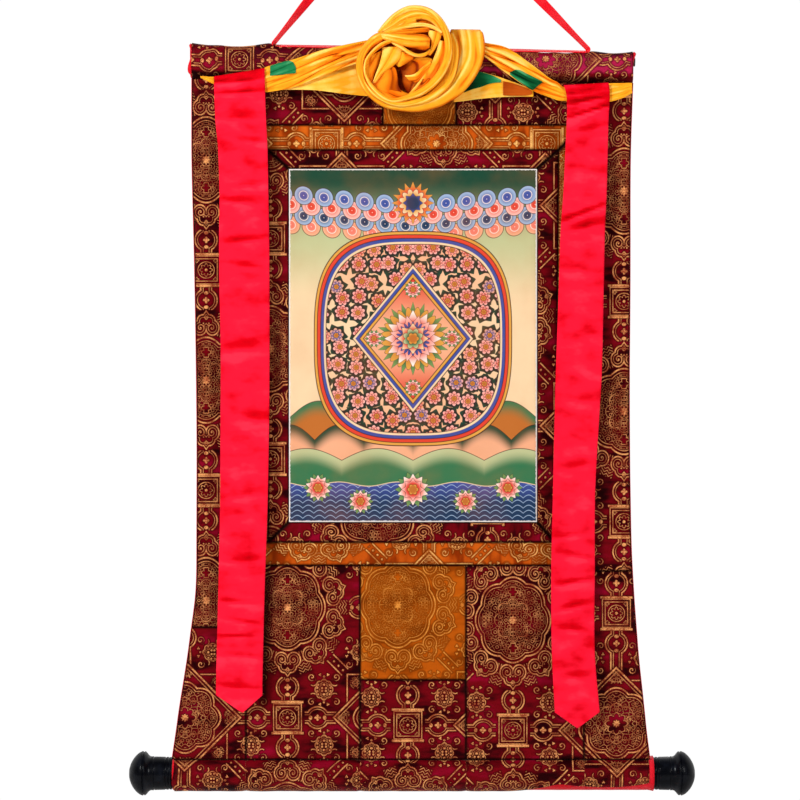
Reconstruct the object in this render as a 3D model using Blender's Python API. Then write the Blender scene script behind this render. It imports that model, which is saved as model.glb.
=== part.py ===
"""Hanging scroll painting with a brocade mount, a top rod in its sleeve, a bottom roller with turned knobs,
two satin streamers, a gathered satin veil tied in a rosette, and a tape that hangs it from one point.

Sizes are in millimetres. X runs to the viewer's right, the front faces -Y, and Z is up. The origin is the
point that the tape hangs from, so a height is written as a drop below that point. point() turns both into
metres."""

import math

import bmesh
import bpy
from mathutils import Vector

MM = 0.001

# Driving sizes of the hanging
SLEEVE_LEFT, SLEEVE_RIGHT = -262.0, 261.0
SLEEVE_SEAM_LEFT, SLEEVE_SEAM_RIGHT = 246.6, 252.5
BAND_TOP, BORDER_TOP = 300.9, 330.4
PAINTING_LEFT, PAINTING_RIGHT = -146.3, 146.3
PAINTING_TOP, PAINTING_BOTTOM = 352.8, 769.4
BORDER_LEFT, BORDER_RIGHT, BORDER_BOTTOM = -171.1, 175.8, 793.0
FRAME_LEFT, FRAME_RIGHT, FRAME_BOTTOM = -197.1, 201.8, 820.4
HEAVEN_PATCH_LEFT, HEAVEN_PATCH_RIGHT = -35.4, 50.7
DOOR_LEFT, DOOR_RIGHT, DOOR_BOTTOM = -62.5, 62.5, 955.8
LEFT_CROSS_SEAM, RIGHT_CROSS_SEAM = 893.3, 827.2
CREASE = 1049.6

CLOTH = 1.5
LINING = 1.0
SATIN = 1.0
SEAM_GAP = 0.3
PANEL_INSET = 0.2
LINING_DEPTH = 1.7
LINING_SHOWS, LINING_STOPS_ABOVE_CREASE = 1.2, 2.6

# Outer edges of the hanging: drop, X of the left edge, X of the right edge
EDGE_ROWS = (
    (246.0, -260.8, 259.4),
    (342.0, -260.6, 256.4),
    (483.0, -257.2, 256.0),
    (640.0, -254.9, 255.2),
    (790.0, -254.9, 257.2),
    (850.0, -256.0, 260.2),
    (909.0, -263.1, 264.3),
    (956.0, -270.2, 269.0),
    (1003.0, -277.3, 273.8),
    (1066.0, -286.6, 281.6),
)

# Waves that the cloth kept from being stored rolled up: they grow towards the roller
WAVE_LENGTH, WAVE_HEIGHT, WAVE_START, WAVE_FULL, WAVE_SETTLES = 92.0, 2.4, 780.0, 930.0, 40.0
FOLD_ROWS = tuple(range(262, 780, 46)) + tuple(range(780, 1046, 19))
FOLD_ROW_CLEAR = 6.0

# Top sleeve: X, drop of its upper line, drop of its lower line
SLEEVE_ROWS = (
    (-262.0, 204.6, 247.0),
    (-229.0, 205.3, 247.0),
    (-210.0, 209.6, 247.2),
    (-192.0, 209.2, 247.4),
    (-168.0, 207.4, 247.6),
    (-159.0, 208.2, 247.7),
    (-148.0, 211.2, 247.8),
    (-98.0, 212.6, 248.3),
    (-15.0, 213.8, 249.2),
    (120.0, 216.4, 250.6),
    (185.0, 217.3, 251.3),
    (209.0, 216.6, 251.6),
    (244.0, 217.9, 252.0),
    (261.0, 214.6, 252.3),
)
SLEEVE_DEPTH, SLEEVE_SIDES, SLEEVE_STEPS, SLEEVE_ROUNDNESS, SLEEVE_FULLER = 24.0, 16, 24, 2.2, 0.06
ROD_RADIUS, ROD_SIDES, ROD_BELOW_SLEEVE_TOP, ROD_SHIFT = 5.0, 20, 12.3, 1.0
END_LINING_INSIDE, END_LINING_CLEAR = 16.0, 0.4
# Crumpled lining at the sleeve's ends: share of the turn, how far it stands out at the left and the right
CRUMPLE_ROWS = (
    (0.0, 2.3, 0.7),
    (0.2, 4.3, 1.3),
    (0.34, 1.9, 3.7),
    (0.5, 4.9, 1.5),
    (0.72, 3.5, 0.9),
    (1.0, 2.3, 0.7),
)

# Roller
ROLLER_DROP, ROLLER_DEPTH = 1066.4, 12.2
CORE_RADIUS, TUBE_WALL, WRAP_WALL = 17.2, 1.0, 1.2
ROLLER_LEFT, ROLLER_RIGHT = -284.6, 282.4
CORE_SIDES, LINING_SIDES = 28, 24
LINING_STEPS = (-140.0, 0.0, 140.0)
LINING_START, LINING_FLARE_FROM, LINING_FLARE_TO, LINING_FLARE = 0.6, 2.6, 0.6, 2.0
KNOB_NECK_RADIUS = 19.4
WRAP_CLEAR, WRAP_SHORT_OF_KNOB, WRAP_BACK_ANGLE = 0.5, 4.4, 262.0
WRAP_BULGE, WRAP_BULGE_ANGLE, WRAP_BULGE_SPREAD = 2.6, 62.0, 26.0
WRAP_STATIONS, WRAP_COLUMNS = 14, 18
# Where the brocade wrap ends below the roller: X, degrees round from the lowest point towards the front
WRAP_EDGE_ROWS = (
    (-284.0, 12.0),
    (-262.0, 16.0),
    (-235.0, -6.0),
    (20.0, -10.0),
    (105.0, 2.0),
    (180.0, 26.0),
    (279.0, 50.0),
)

# Turned knob: distance from its inner end, radius
KNOB_NECK_PROFILE = (
    (0.0, 18.4), (0.6, 19.1), (2.6, 19.1), (3.4, 18.2), (4.4, 19.3), (6.6, 19.3), (7.4, 18.3),
    (8.4, 19.4), (20.4, 19.7), (21.2, 19.0), (22.2, 20.1), (24.6, 19.8), (28.0, 21.6),
    (31.4, 25.6), (32.6, 25.9), (33.6, 24.7), (34.6, 26.1), (35.6, 26.0),
)
KNOB_DOME_FROM, KNOB_LENGTH, KNOB_RIM, KNOB_SIDES = 36.4, 51.4, 25.6, 28
KNOB_DOME_POWER, KNOB_DOME_STEPS, KNOB_DOME_SPACING = 1.35, 7, 0.8

# Streamers: drop, X of the left edge, X of the right edge, how far the front stands before the hanging
LEFT_STREAMER_ROWS = (
    (238.0, -234.8, -174.6, 16.6),
    (264.0, -234.6, -174.2, 16.4),
    (330.0, -233.4, -173.5, 13.5),
    (400.0, -228.9, -172.0, 14.6),
    (472.0, -228.8, -171.2, 12.4),
    (560.0, -227.0, -171.0, 14.0),
    (650.0, -227.4, -171.6, 12.0),
    (755.0, -227.8, -173.4, 14.0),
    (850.0, -230.0, -177.0, 12.4),
    (956.0, -232.5, -179.4, 13.2),
    (972.3, -232.6, -179.4, 13.0),
)
LEFT_STREAMER_TIP, LEFT_TOP_SLANT = (-201.2, 993.6), -10.0
RIGHT_STREAMER_ROWS = (
    (252.5, 179.4, 231.3, 16.9),
    (276.0, 181.2, 230.6, 16.6),
    (330.0, 179.4, 228.3, 13.2),
    (401.0, 174.8, 225.6, 15.0),
    (495.0, 171.2, 224.0, 12.6),
    (590.0, 167.6, 221.8, 14.4),
    (640.0, 166.4, 219.2, 12.2),
    (731.0, 164.2, 214.0, 14.2),
    (826.0, 162.2, 213.8, 12.0),
    (920.0, 162.8, 213.6, 13.8),
    (992.4, 166.4, 219.5, 12.6),
)
RIGHT_STREAMER_TIP, RIGHT_TOP_SLANT = (193.5, 1011.3), 1.0
STREAMER_STEPS, STREAMER_COLUMNS, STREAMER_SLANT_RUN = 30, 4, 40.0
STREAMER_CURL, STREAMER_CURL_LENGTH, STREAMER_TIP_SHARES = 1.6, 61.0, (0.5, 0.96)

# Veil folds: X, drop of the upper edge, drop of the lower edge, how far it stands in front, pleat depth
VEIL_LEFT_UPPER_ROWS = (
    (-250.8, 240.6, 243.6, 12.4, 0.1),
    (-234.8, 240.4, 252.5, 12.4, 0.3),
    (-204.0, 237.0, 257.2, 12.5, 0.4),
    (-172.0, 231.8, 262.2, 13.1, 0.5),
    (-139.0, 223.0, 255.6, 15.0, 0.9),
    (-107.0, 212.6, 242.6, 16.6, 1.4),
    (-62.0, 202.6, 226.5, 18.8, 1.6),
)
VEIL_LEFT_LOWER_ROWS = (
    (-158.0, 250.0, 259.2, 12.0, 0.1),
    (-117.0, 240.0, 259.8, 12.2, 0.2),
    (-80.0, 226.0, 264.3, 12.7, 0.3),
    (-56.0, 222.0, 266.7, 12.9, 0.3),
)
VEIL_RIGHT_UPPER_ROWS = (
    (84.0, 203.6, 219.6, 20.1, 1.4),
    (111.0, 210.0, 240.2, 17.0, 1.4),
    (142.0, 231.0, 260.6, 15.2, 1.2),
    (170.0, 251.0, 271.4, 13.2, 0.7),
    (180.0, 252.6, 272.6, 12.6, 0.5),
    (230.0, 251.6, 273.6, 12.2, 0.5),
    (246.0, 251.4, 269.6, 12.2, 0.4),
    (258.6, 251.3, 263.1, 12.2, 0.3),
)
VEIL_RIGHT_LOWER_ROWS = (
    (60.0, 262.0, 272.6, 12.0, 0.1),
    (79.0, 240.0, 270.2, 12.0, 0.2),
    (107.0, 246.0, 267.9, 11.8, 0.2),
    (142.0, 259.0, 267.4, 11.6, 0.1),
)
# Veil folds: rows, steps along, steps down, number of pleats, how far the middle stands forward
VEIL_FOLDS = {
    "left_upper": (VEIL_LEFT_UPPER_ROWS, 16, 12, 3.0, 1.2),
    "left_lower": (VEIL_LEFT_LOWER_ROWS, 8, 4, 1.0, 0.2),
    "right_upper": (VEIL_RIGHT_UPPER_ROWS, 14, 12, 3.0, 1.2),
    "right_lower": (VEIL_RIGHT_LOWER_ROWS, 8, 4, 1.0, 0.2),
}
PLEAT_DRIFT, PATCH_CLEAR = 0.01, 0.75
# Patches on the veil: name, fold it lies on, the fold's steps that it runs from and to along it and down it
PATCHES = (
    ("veil_patch_left_green", "left_upper", 7.0, 9.6, 1.0, 6.0, "patch_green"),
    ("veil_patch_right_green", "right_upper", 2.4, 5.3, 7.0, 11.0, "patch_green"),
    ("veil_patch_inner_green", "right_lower", 1.4, 4.6, 0.3, 2.0, "patch_green"),
    ("veil_patch_right_orange", "right_lower", 4.9, 7.8, 0.4, 3.5, "patch_orange"),
)

# Rosette: strands of the wound cloth, measured from its middle: X, height, depth, half width, half thickness
ROSETTE_X, ROSETTE_DROP = 8.3, 226.6
OUTER_STRAND = (
    (55, 41, 22, 12, 3), (57, 36, 22, 19, 4), (59, 18, 27, 20, 8), (57, -5, 31, 17, 9),
    (43, -27, 34, 14, 9), (22, -41, 36, 11, 8), (-3, -49, 36, 8, 7), (-28, -48, 35, 7, 7),
    (-51, -38, 34, 6, 6), (-65, -21, 34, 6, 6), (-68, -2, 35, 6, 6), (-62, 15, 38, 6, 6),
    (-48, 26, 42, 7, 6), (-28, 29, 46, 8, 6), (-6, 24, 48, 9, 6), (8, 19, 47, 8, 5),
)
INNER_STRAND = (
    (-63.5, 13, 22, 10, 5), (-50, 26, 25, 9, 6), (-38, 38, 30, 7, 6), (-21, 52, 34, 7, 7),
    (-2, 59, 36, 7, 7), (16, 51, 38, 7, 7), (28, 33, 42, 7, 7), (33, 13, 45, 7, 7),
    (29, -7, 46, 7, 7), (17, -24, 45, 7, 7), (-2, -36, 43, 6, 6), (-25, -40, 42, 5, 6),
    (-45, -34, 41, 5, 5), (-57, -20, 41, 5, 5), (-60, -4, 42, 5, 5), (-53, 11, 40, 5, 5),
    (-40, 20, 38, 5, 5),
)
LOBE_STRAND = ((-38, 31, 36, 5, 4), (-14, 42, 38, 6, 5), (10, 43, 40, 6, 5), (25, 30, 40, 5, 4))
LEFT_PETAL = ((-40, 14, 34, 7, 5), (-31, -2, 35, 11, 6), (-27, -18, 33, 13, 6), (-17, -33, 30, 11, 5))
RIGHT_PETAL = ((24, 8, 33, 8, 5), (12, -8, 31, 10, 6), (0, -22, 30, 10, 5), (-8, -33, 30, 8, 5))
BACK_STRAND = (
    (-62, -4, 22, 14, 5), (-44, -2, 18.3, 30, 6), (-18, 4, 18.3, 40, 6), (8, 8, 18.3, 44, 6),
    (30, 6, 18.3, 34, 6), (50, 8, 20, 14, 6),
)
STRAND_SIDES, STRAND_STEP, ROSETTE_VOXEL, ROSETTE_KEEP = 12, 7.0, 2.2, 0.13

# Hanging tape: corner points as X and drop, radius it turns round, and how far it is turned edge-on
TAPE_WIDTH, TAPE_THICKNESS, TAPE_CORNER = 11.5, 1.4, 3.0
TAPE_CORNERS = ((0.0, 1.2), (209.4, 216.2), (-165.6, 207.2))
TAPE_LEG_TURN, TAPE_BASE_TURN, TAPE_CORNER_TURN = 18.0, 68.0, 90.0
TAPE_LEG_STEPS, TAPE_CORNER_STEPS, TAPE_UNTWIST = 9, 5, 3.2

COLOURS = {
    "brocade_maroon": ((0.16, 0.012, 0.018), 0.5),
    "brocade_orange": ((0.52, 0.16, 0.02), 0.5),
    "brocade_gold": ((0.58, 0.24, 0.02), 0.5),
    "painted_cotton": ((0.45, 0.42, 0.22), 0.7),
    "satin_red": ((0.75, 0.01, 0.03), 0.4),
    "satin_yellow": ((0.9, 0.42, 0.02), 0.38),
    "patch_green": ((0.01, 0.18, 0.06), 0.45),
    "patch_orange": ((0.5, 0.07, 0.005), 0.45),
    "tape_red": ((0.75, 0.01, 0.02), 0.45),
    "rod_wood": ((0.03, 0.025, 0.022), 0.6),
    "knob_lacquer": ((0.006, 0.007, 0.012), 0.25),
}


def clear_scene():
    for obj in list(bpy.data.objects):
        bpy.data.objects.remove(obj, do_unlink=True)


def material(name):
    """The Principled material of this name, made once."""
    made = bpy.data.materials.get(name)
    if made:
        return made
    colour, roughness = COLOURS[name]
    made = bpy.data.materials.new(name)
    made.use_nodes = True
    shader = made.node_tree.nodes["Principled BSDF"]
    shader.inputs["Base Color"].default_value = (*colour, 1.0)
    shader.inputs["Roughness"].default_value = roughness
    shader.inputs["Metallic"].default_value = 0.0
    return made


def smooth(share):
    share = min(max(share, 0.0), 1.0)
    return share * share * (3.0 - 2.0 * share)


def mix(low, high, share):
    return low + (high - low) * share


def read_rows(rows, at):
    """A table's columns after its first, which sorts it, read on a smooth curve through its rows."""
    if at <= rows[0][0]:
        return rows[0][1:]
    if at >= rows[-1][0]:
        return rows[-1][1:]
    here = next(i for i in range(len(rows) - 1) if at <= rows[i + 1][0])
    low, high = rows[here], rows[here + 1]
    before, after = rows[max(here - 1, 0)], rows[min(here + 2, len(rows) - 1)]
    span = high[0] - low[0]
    t = (at - low[0]) / span
    found = []
    for k in range(1, len(low)):
        slope_in = (high[k] - before[k]) / (high[0] - before[0]) * span
        slope_out = (after[k] - low[k]) / (after[0] - low[0]) * span
        found.append(
            low[k] * (2 * t**3 - 3 * t**2 + 1)
            + slope_in * (t**3 - 2 * t**2 + t)
            + high[k] * (3 * t**2 - 2 * t**3)
            + slope_out * (t**3 - t**2)
        )
    return tuple(found)


def curve_points(rows, step):
    """Rows about one step apart on a smooth curve through rows whose first three numbers are a place."""
    lengths = [math.dist(rows[i][:3], rows[i + 1][:3]) for i in range(len(rows) - 1)]
    keyed, run = [(0.0, *rows[0])], 0.0
    for row, length in zip(rows[1:], lengths):
        run += length
        keyed.append((run, *row))
    count = max(4, round(run / step))
    return [read_rows(keyed, run * i / count) for i in range(count + 1)]


def point(x, depth, drop):
    return Vector((x * MM, depth * MM, -drop * MM))


def new_object(name, mesh_source, material_name):
    mesh = bpy.data.meshes.new(name)
    mesh_source.to_mesh(mesh)
    mesh_source.free()
    obj = bpy.data.objects.new(name, mesh)
    bpy.context.scene.collection.objects.link(obj)
    mesh.materials.append(material(material_name))
    mesh.shade_smooth()
    mesh.set_sharp_from_angle(angle=math.radians(50))
    return obj


def add_grid(target, grid, ring=False, closed=False):
    """Quads between a grid's rows: ring joins the last column to the first, closed the last row."""
    rows = [[target.verts.new(place) for place in row] for row in grid]
    columns = len(rows[0])
    for i in range(len(rows) if closed else len(rows) - 1):
        low, high = rows[i], rows[(i + 1) % len(rows)]
        for j in range(columns if ring else columns - 1):
            k = (j + 1) % columns
            target.faces.new((low[j], low[k], high[k], high[j]))
    return rows


def thicken(obj, thickness):
    modifier = obj.modifiers.new("Thickness", "SOLIDIFY")
    modifier.thickness = thickness * MM
    modifier.offset = 0.0


def cloth_sheet(name, grid, thickness, material_name, ring=False):
    shape = bmesh.new()
    add_grid(shape, grid, ring)
    obj = new_object(name, shape, material_name)
    thicken(obj, thickness)
    return obj


# The hanging's own sheets


def edge_left(drop):
    return read_rows(EDGE_ROWS, drop)[0]


def edge_right(drop):
    return read_rows(EDGE_ROWS, drop)[1]


def seam_drop(x):
    """The seam under the top sleeve, which slopes a little with the rod."""
    return mix(SLEEVE_SEAM_LEFT, SLEEVE_SEAM_RIGHT, (x - SLEEVE_LEFT) / (SLEEVE_RIGHT - SLEEVE_LEFT))


def cloth_depth(drop):
    """Depth of the hanging's middle plane: flat above, in soft waves towards the roller."""
    growing = smooth((drop - WAVE_START) / (WAVE_FULL - WAVE_START)) * smooth((CREASE - drop) / WAVE_SETTLES)
    return -WAVE_HEIGHT * growing * math.sin(2.0 * math.pi * (drop - WAVE_START) / WAVE_LENGTH)


def level(drop):
    return lambda x: drop


def upright(x):
    return lambda drop: x


def slanted(x_from, drop_from, x_to, drop_to):
    """The X of a mitred corner's seam at a given drop."""
    return lambda drop: mix(x_from, x_to, (drop - drop_from) / (drop_to - drop_from))


def mitre(x_from, drop_from, x_to, drop_to):
    """The drop of a mitred corner's seam at a given X."""
    return lambda x: mix(drop_from, drop_to, (x - x_from) / (x_to - x_from))


def hung_grid(left, right, top, bottom, depth_behind, columns, inset):
    """Grid of a hung sheet between edges given as functions, on the drops that all the sheets share."""
    first = max(top(left(BORDER_TOP)), top(right(BORDER_TOP)))
    last = min(bottom(left(BORDER_BOTTOM)), bottom(right(BORDER_BOTTOM)))
    inner = [drop for drop in FOLD_ROWS if first + FOLD_ROW_CLEAR < drop < last - FOLD_ROW_CLEAR]

    def place(across, drop_at):
        """The point at a share of the way across, on the line whose drop at each X is given."""
        drop = drop_at(0.0)
        for _ in range(3):
            x = mix(left(drop) + inset, right(drop) - inset, across)
            drop = drop_at(x)
        return point(x, cloth_depth(drop) + depth_behind, drop)

    lines = [lambda x: top(x) + inset, *(level(drop) for drop in inner), lambda x: bottom(x) - inset]
    return [[place(column / columns, line) for column in range(columns + 1)] for line in lines]


def panel(name, left, right, top, bottom, material_name, columns=2):
    grid = hung_grid(left, right, top, bottom, 0.0, columns, PANEL_INSET)
    return cloth_sheet(name, grid, CLOTH, material_name)


def build_mount():
    """Brocade strips and panels round the painted panel."""
    maroon, orange, gold = "brocade_maroon", "brocade_orange", "brocade_gold"
    frame_left, frame_right = upright(FRAME_LEFT), upright(FRAME_RIGHT)
    crease = level(CREASE)
    left_seam, right_seam = level(LEFT_CROSS_SEAM), level(RIGHT_CROSS_SEAM)
    panel("side_strip_left_upper", edge_left, frame_left, seam_drop, left_seam, maroon)
    panel("side_strip_left_lower", edge_left, frame_left, left_seam, crease, maroon)
    panel("side_strip_right_upper", frame_right, edge_right, seam_drop, right_seam, maroon)
    panel("side_strip_right_lower", frame_right, edge_right, right_seam, crease, maroon)
    patch_left, patch_right = upright(HEAVEN_PATCH_LEFT), upright(HEAVEN_PATCH_RIGHT)
    band_top = level(BAND_TOP)
    panel("heaven_panel_left", frame_left, patch_left, seam_drop, band_top, maroon, 3)
    panel("heaven_patch", patch_left, patch_right, seam_drop, band_top, gold, 2)
    panel("heaven_panel_right", patch_right, frame_right, seam_drop, band_top, maroon, 3)
    border_top, border_bottom = level(BORDER_TOP), level(BORDER_BOTTOM)
    border_left, border_right = upright(BORDER_LEFT), upright(BORDER_RIGHT)
    panel("frame_strip_top", frame_left, frame_right, band_top, border_top, orange, 4)
    panel("frame_strip_bottom", frame_left, frame_right, border_bottom, level(FRAME_BOTTOM), orange, 4)
    panel("frame_strip_left", frame_left, border_left, border_top, border_bottom, orange, 1)
    panel("frame_strip_right", border_right, frame_right, border_top, border_bottom, orange, 1)
    picture_left, picture_right = upright(PAINTING_LEFT), upright(PAINTING_RIGHT)
    picture_top, picture_bottom = level(PAINTING_TOP), level(PAINTING_BOTTOM)
    top_left = (BORDER_LEFT, BORDER_TOP, PAINTING_LEFT, PAINTING_TOP)
    top_right = (BORDER_RIGHT, BORDER_TOP, PAINTING_RIGHT, PAINTING_TOP)
    bottom_left = (BORDER_LEFT, BORDER_BOTTOM, PAINTING_LEFT, PAINTING_BOTTOM)
    bottom_right = (BORDER_RIGHT, BORDER_BOTTOM, PAINTING_RIGHT, PAINTING_BOTTOM)
    upper_ends = (slanted(*top_left), slanted(*top_right))
    lower_ends = (slanted(*bottom_left), slanted(*bottom_right))
    left_ends = (mitre(*top_left), mitre(*bottom_left))
    right_ends = (mitre(*top_right), mitre(*bottom_right))
    panel("border_strip_top", *upper_ends, border_top, picture_top, maroon, 4)
    panel("border_strip_bottom", *lower_ends, picture_bottom, border_bottom, maroon, 4)
    panel("border_strip_left", border_left, picture_left, *left_ends, maroon, 1)
    panel("border_strip_right", picture_right, border_right, *right_ends, maroon, 1)
    panel("painted_panel", picture_left, picture_right, picture_top, picture_bottom, "painted_cotton", 4)
    door_left, door_right = upright(DOOR_LEFT), upright(DOOR_RIGHT)
    frame_bottom, door_bottom = level(FRAME_BOTTOM), level(DOOR_BOTTOM)
    panel("earth_panel_left", frame_left, door_left, frame_bottom, crease, maroon)
    panel("earth_panel_right", door_right, frame_right, frame_bottom, crease, maroon)
    panel("earth_panel_middle", door_left, door_right, door_bottom, crease, maroon)
    panel("door_patch", door_left, door_right, frame_bottom, door_bottom, gold)


def build_lining():
    """Red satin behind the mount, a little wider than it, so that its edge shows along both sides."""
    def left(drop):
        return edge_left(drop) - LINING_SHOWS

    def right(drop):
        return edge_right(drop) + LINING_SHOWS

    stop = level(CREASE - LINING_STOPS_ABOVE_CREASE)
    grid = hung_grid(left, right, seam_drop, stop, LINING_DEPTH, 2, SEAM_GAP)
    cloth_sheet("lining", grid, LINING, "satin_red")


# Top sleeve and its rod


def sleeve_ring(x, top_drop, bottom_drop, grow):
    """Points round the sleeve at one X: a flattened round, fuller below than above."""
    middle, half = (top_drop + bottom_drop) / 2, (bottom_drop - top_drop) / 2 + grow
    ring = []
    for side in range(SLEEVE_SIDES):
        angle = 2.0 * math.pi * side / SLEEVE_SIDES
        across, up = math.sin(angle), math.cos(angle)
        power = 2.0 / SLEEVE_ROUNDNESS
        depth = math.copysign(abs(across) ** power, across) * (SLEEVE_DEPTH / 2 + grow)
        height = math.copysign(abs(up) ** power, up) * half
        fuller = 1.0 - SLEEVE_FULLER * up
        ring.append(point(x, -depth * fuller, middle - height))
    return ring


def rod_end(x):
    """A place on the rod's axis, hung a fixed way below the sleeve's upper line."""
    upper = read_rows(SLEEVE_ROWS, x)[0]
    return point(x + ROD_SHIFT, 0.0, upper + ROD_BELOW_SLEEVE_TOP)


def build_sleeve():
    inset = CLOTH / 2 + SEAM_GAP
    stations = [mix(SLEEVE_LEFT, SLEEVE_RIGHT, i / SLEEVE_STEPS) for i in range(SLEEVE_STEPS + 1)]
    grid = [sleeve_ring(x, *read_rows(SLEEVE_ROWS, x), -inset) for x in stations]
    cloth_sheet("top_sleeve", grid, CLOTH, "brocade_maroon", ring=True)
    build_end_lining("sleeve_lining_left", SLEEVE_LEFT, -1.0, 0)
    build_end_lining("sleeve_lining_right", SLEEVE_RIGHT, 1.0, 1)
    start, end = rod_end(SLEEVE_LEFT), rod_end(SLEEVE_RIGHT)
    rod = build_bar("top_rod", ROD_RADIUS, (end - start).length / MM, ROD_SIDES)
    rod.location = (start + end) / 2
    rod.rotation_mode = "QUATERNION"
    rod.rotation_quaternion = (end - start).to_track_quat("Z", "Y")


def build_bar(name, radius, length, sides):
    """Round wooden bar, upright about the origin."""
    bar = bmesh.new()
    bmesh.ops.create_cone(
        bar, cap_ends=True, segments=sides, radius1=radius * MM, radius2=radius * MM, depth=length * MM
    )
    return new_object(name, bar, "rod_wood")


def build_end_lining(name, end, way, column):
    """Lining that lines the sleeve's end and stands out of it, crumpled."""
    inset = CLOTH + SEAM_GAP + LINING / 2 + END_LINING_CLEAR
    grid = []
    for inward, stands in ((END_LINING_INSIDE, 0.0), (END_LINING_INSIDE / 2, 0.0), (0.0, 0.0), (0.0, 1.0)):
        x = end - way * inward
        row = []
        for side, place in enumerate(sleeve_ring(x, *read_rows(SLEEVE_ROWS, x), -inset)):
            out = stands * read_rows(CRUMPLE_ROWS, side / SLEEVE_SIDES)[column]
            row.append(place + Vector((way * out * MM, 0.0, 0.0)))
        grid.append(row)
    cloth_sheet(name, grid, LINING, "satin_red", ring=True)


# Roller


def roller_point(x, radius, angle):
    """A place round the roller: angle 0 is its lowest line, 90 degrees its foremost."""
    turn = math.radians(angle)
    return point(x, ROLLER_DEPTH - radius * math.sin(turn), ROLLER_DROP + radius * math.cos(turn))


def build_roller():
    core = build_bar("roller_core", CORE_RADIUS, ROLLER_RIGHT - ROLLER_LEFT, CORE_SIDES)
    core.location = point((ROLLER_LEFT + ROLLER_RIGHT) / 2, ROLLER_DEPTH, ROLLER_DROP)
    core.rotation_euler = (0.0, math.radians(90), 0.0)
    radius = CORE_RADIUS + SEAM_GAP + TUBE_WALL / 2
    over_knob = KNOB_NECK_RADIUS + 2 * PANEL_INSET + TUBE_WALL / 2
    stations = (
        (ROLLER_LEFT + LINING_START, radius),
        *((x, radius) for x in LINING_STEPS),
        (ROLLER_RIGHT - LINING_FLARE_FROM, radius),
        (ROLLER_RIGHT - LINING_FLARE_TO, over_knob),
        (ROLLER_RIGHT + LINING_FLARE, over_knob),
    )
    angles = [360.0 * i / LINING_SIDES for i in range(LINING_SIDES)]
    grid = [[roller_point(x, across, angle) for angle in angles] for x, across in stations]
    cloth_sheet("roller_lining", grid, TUBE_WALL, "satin_red", ring=True)
    build_wrap(radius + TUBE_WALL / 2 + WRAP_CLEAR + WRAP_WALL / 2)
    build_knob("knob_left", ROLLER_LEFT - SEAM_GAP, -1.0)
    build_knob("knob_right", ROLLER_RIGHT + SEAM_GAP, 1.0)


def build_wrap(radius):
    """Brocade round the roller's front, from behind its top to an edge that comes forward at the right."""
    left, right = ROLLER_LEFT + WRAP_BULGE + SEAM_GAP, ROLLER_RIGHT - WRAP_SHORT_OF_KNOB
    grid = []
    for step in range(WRAP_STATIONS + 1):
        x = mix(left, right, step / WRAP_STATIONS)
        start = read_rows(WRAP_EDGE_ROWS, x)[0]
        row = []
        for turn in range(WRAP_COLUMNS + 1):
            angle = mix(start, WRAP_BACK_ANGLE, turn / WRAP_COLUMNS)
            bulge = WRAP_BULGE * math.exp(-(((angle - WRAP_BULGE_ANGLE) / WRAP_BULGE_SPREAD) ** 2))
            row.append(roller_point(x - bulge if step == 0 else x, radius, angle))
        grid.append(row)
    cloth_sheet("roller_wrap", grid, WRAP_WALL, "brocade_maroon")


def knob_profile():
    """Distance along the knob and radius, from its flat inner end over rings and rim to the dome's tip."""
    dome = []
    for step in range(1, KNOB_DOME_STEPS):
        share = (step / KNOB_DOME_STEPS) ** KNOB_DOME_SPACING
        along = mix(KNOB_DOME_FROM, KNOB_LENGTH, share)
        dome.append((along, KNOB_RIM * math.sqrt(1.0 - share**KNOB_DOME_POWER)))
    return (*KNOB_NECK_PROFILE, (KNOB_DOME_FROM, KNOB_RIM), *dome)


def build_knob(name, inner_end, way):
    """Turned knob: its profile spun about the roller's axis, closed on the axis at both ends."""
    shape = bmesh.new()
    angles = [360.0 * i / KNOB_SIDES for i in range(KNOB_SIDES)]
    rings = []
    for along, radius in knob_profile():
        rings.append([roller_point(inner_end + way * along, radius, angle) for angle in angles])
    rows = add_grid(shape, rings, ring=True)
    for row, along in ((rows[0], 0.0), (rows[-1], KNOB_LENGTH)):
        tip = shape.verts.new(point(inner_end + way * along, ROLLER_DEPTH, ROLLER_DROP))
        for i in range(KNOB_SIDES):
            shape.faces.new((row[i], row[(i + 1) % KNOB_SIDES], tip))
    bmesh.ops.recalc_face_normals(shape, faces=shape.faces)
    new_object(name, shape, "knob_lacquer")


# Streamers, veil and tape


def build_streamer(name, rows, tip, top_slant):
    """Satin band that hangs in front, with a slanted top and a pointed end."""
    grid = []
    first, last = rows[0][0], rows[-1][0]
    across = shares(0.0, 1.0, STREAMER_COLUMNS)
    for step in range(STREAMER_STEPS + 1):
        drop = mix(first, last, step / STREAMER_STEPS)
        left, right, front = read_rows(rows, drop)
        slant = top_slant * smooth(1.0 - (drop - first) / STREAMER_SLANT_RUN)
        curl = STREAMER_CURL * math.sin(drop / STREAMER_CURL_LENGTH)
        row = []
        for share in across:
            depth = -front - curl * math.sin(math.pi * share)
            row.append(point(mix(left, right, share), depth, drop + slant * (share - 0.5)))
        grid.append(row)
    left, right, front = rows[-1][1:]
    tip_x, tip_drop = tip
    for down in STREAMER_TIP_SHARES:
        edges = mix(left, tip_x, down), mix(right, tip_x, down)
        grid.append([point(mix(*edges, share), -front, mix(last, tip_drop, down)) for share in across])
    cloth_sheet(name, grid, SATIN, "satin_red")


def shares(low, high, steps):
    return [mix(low, high, i / steps) for i in range(steps + 1)]


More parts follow.
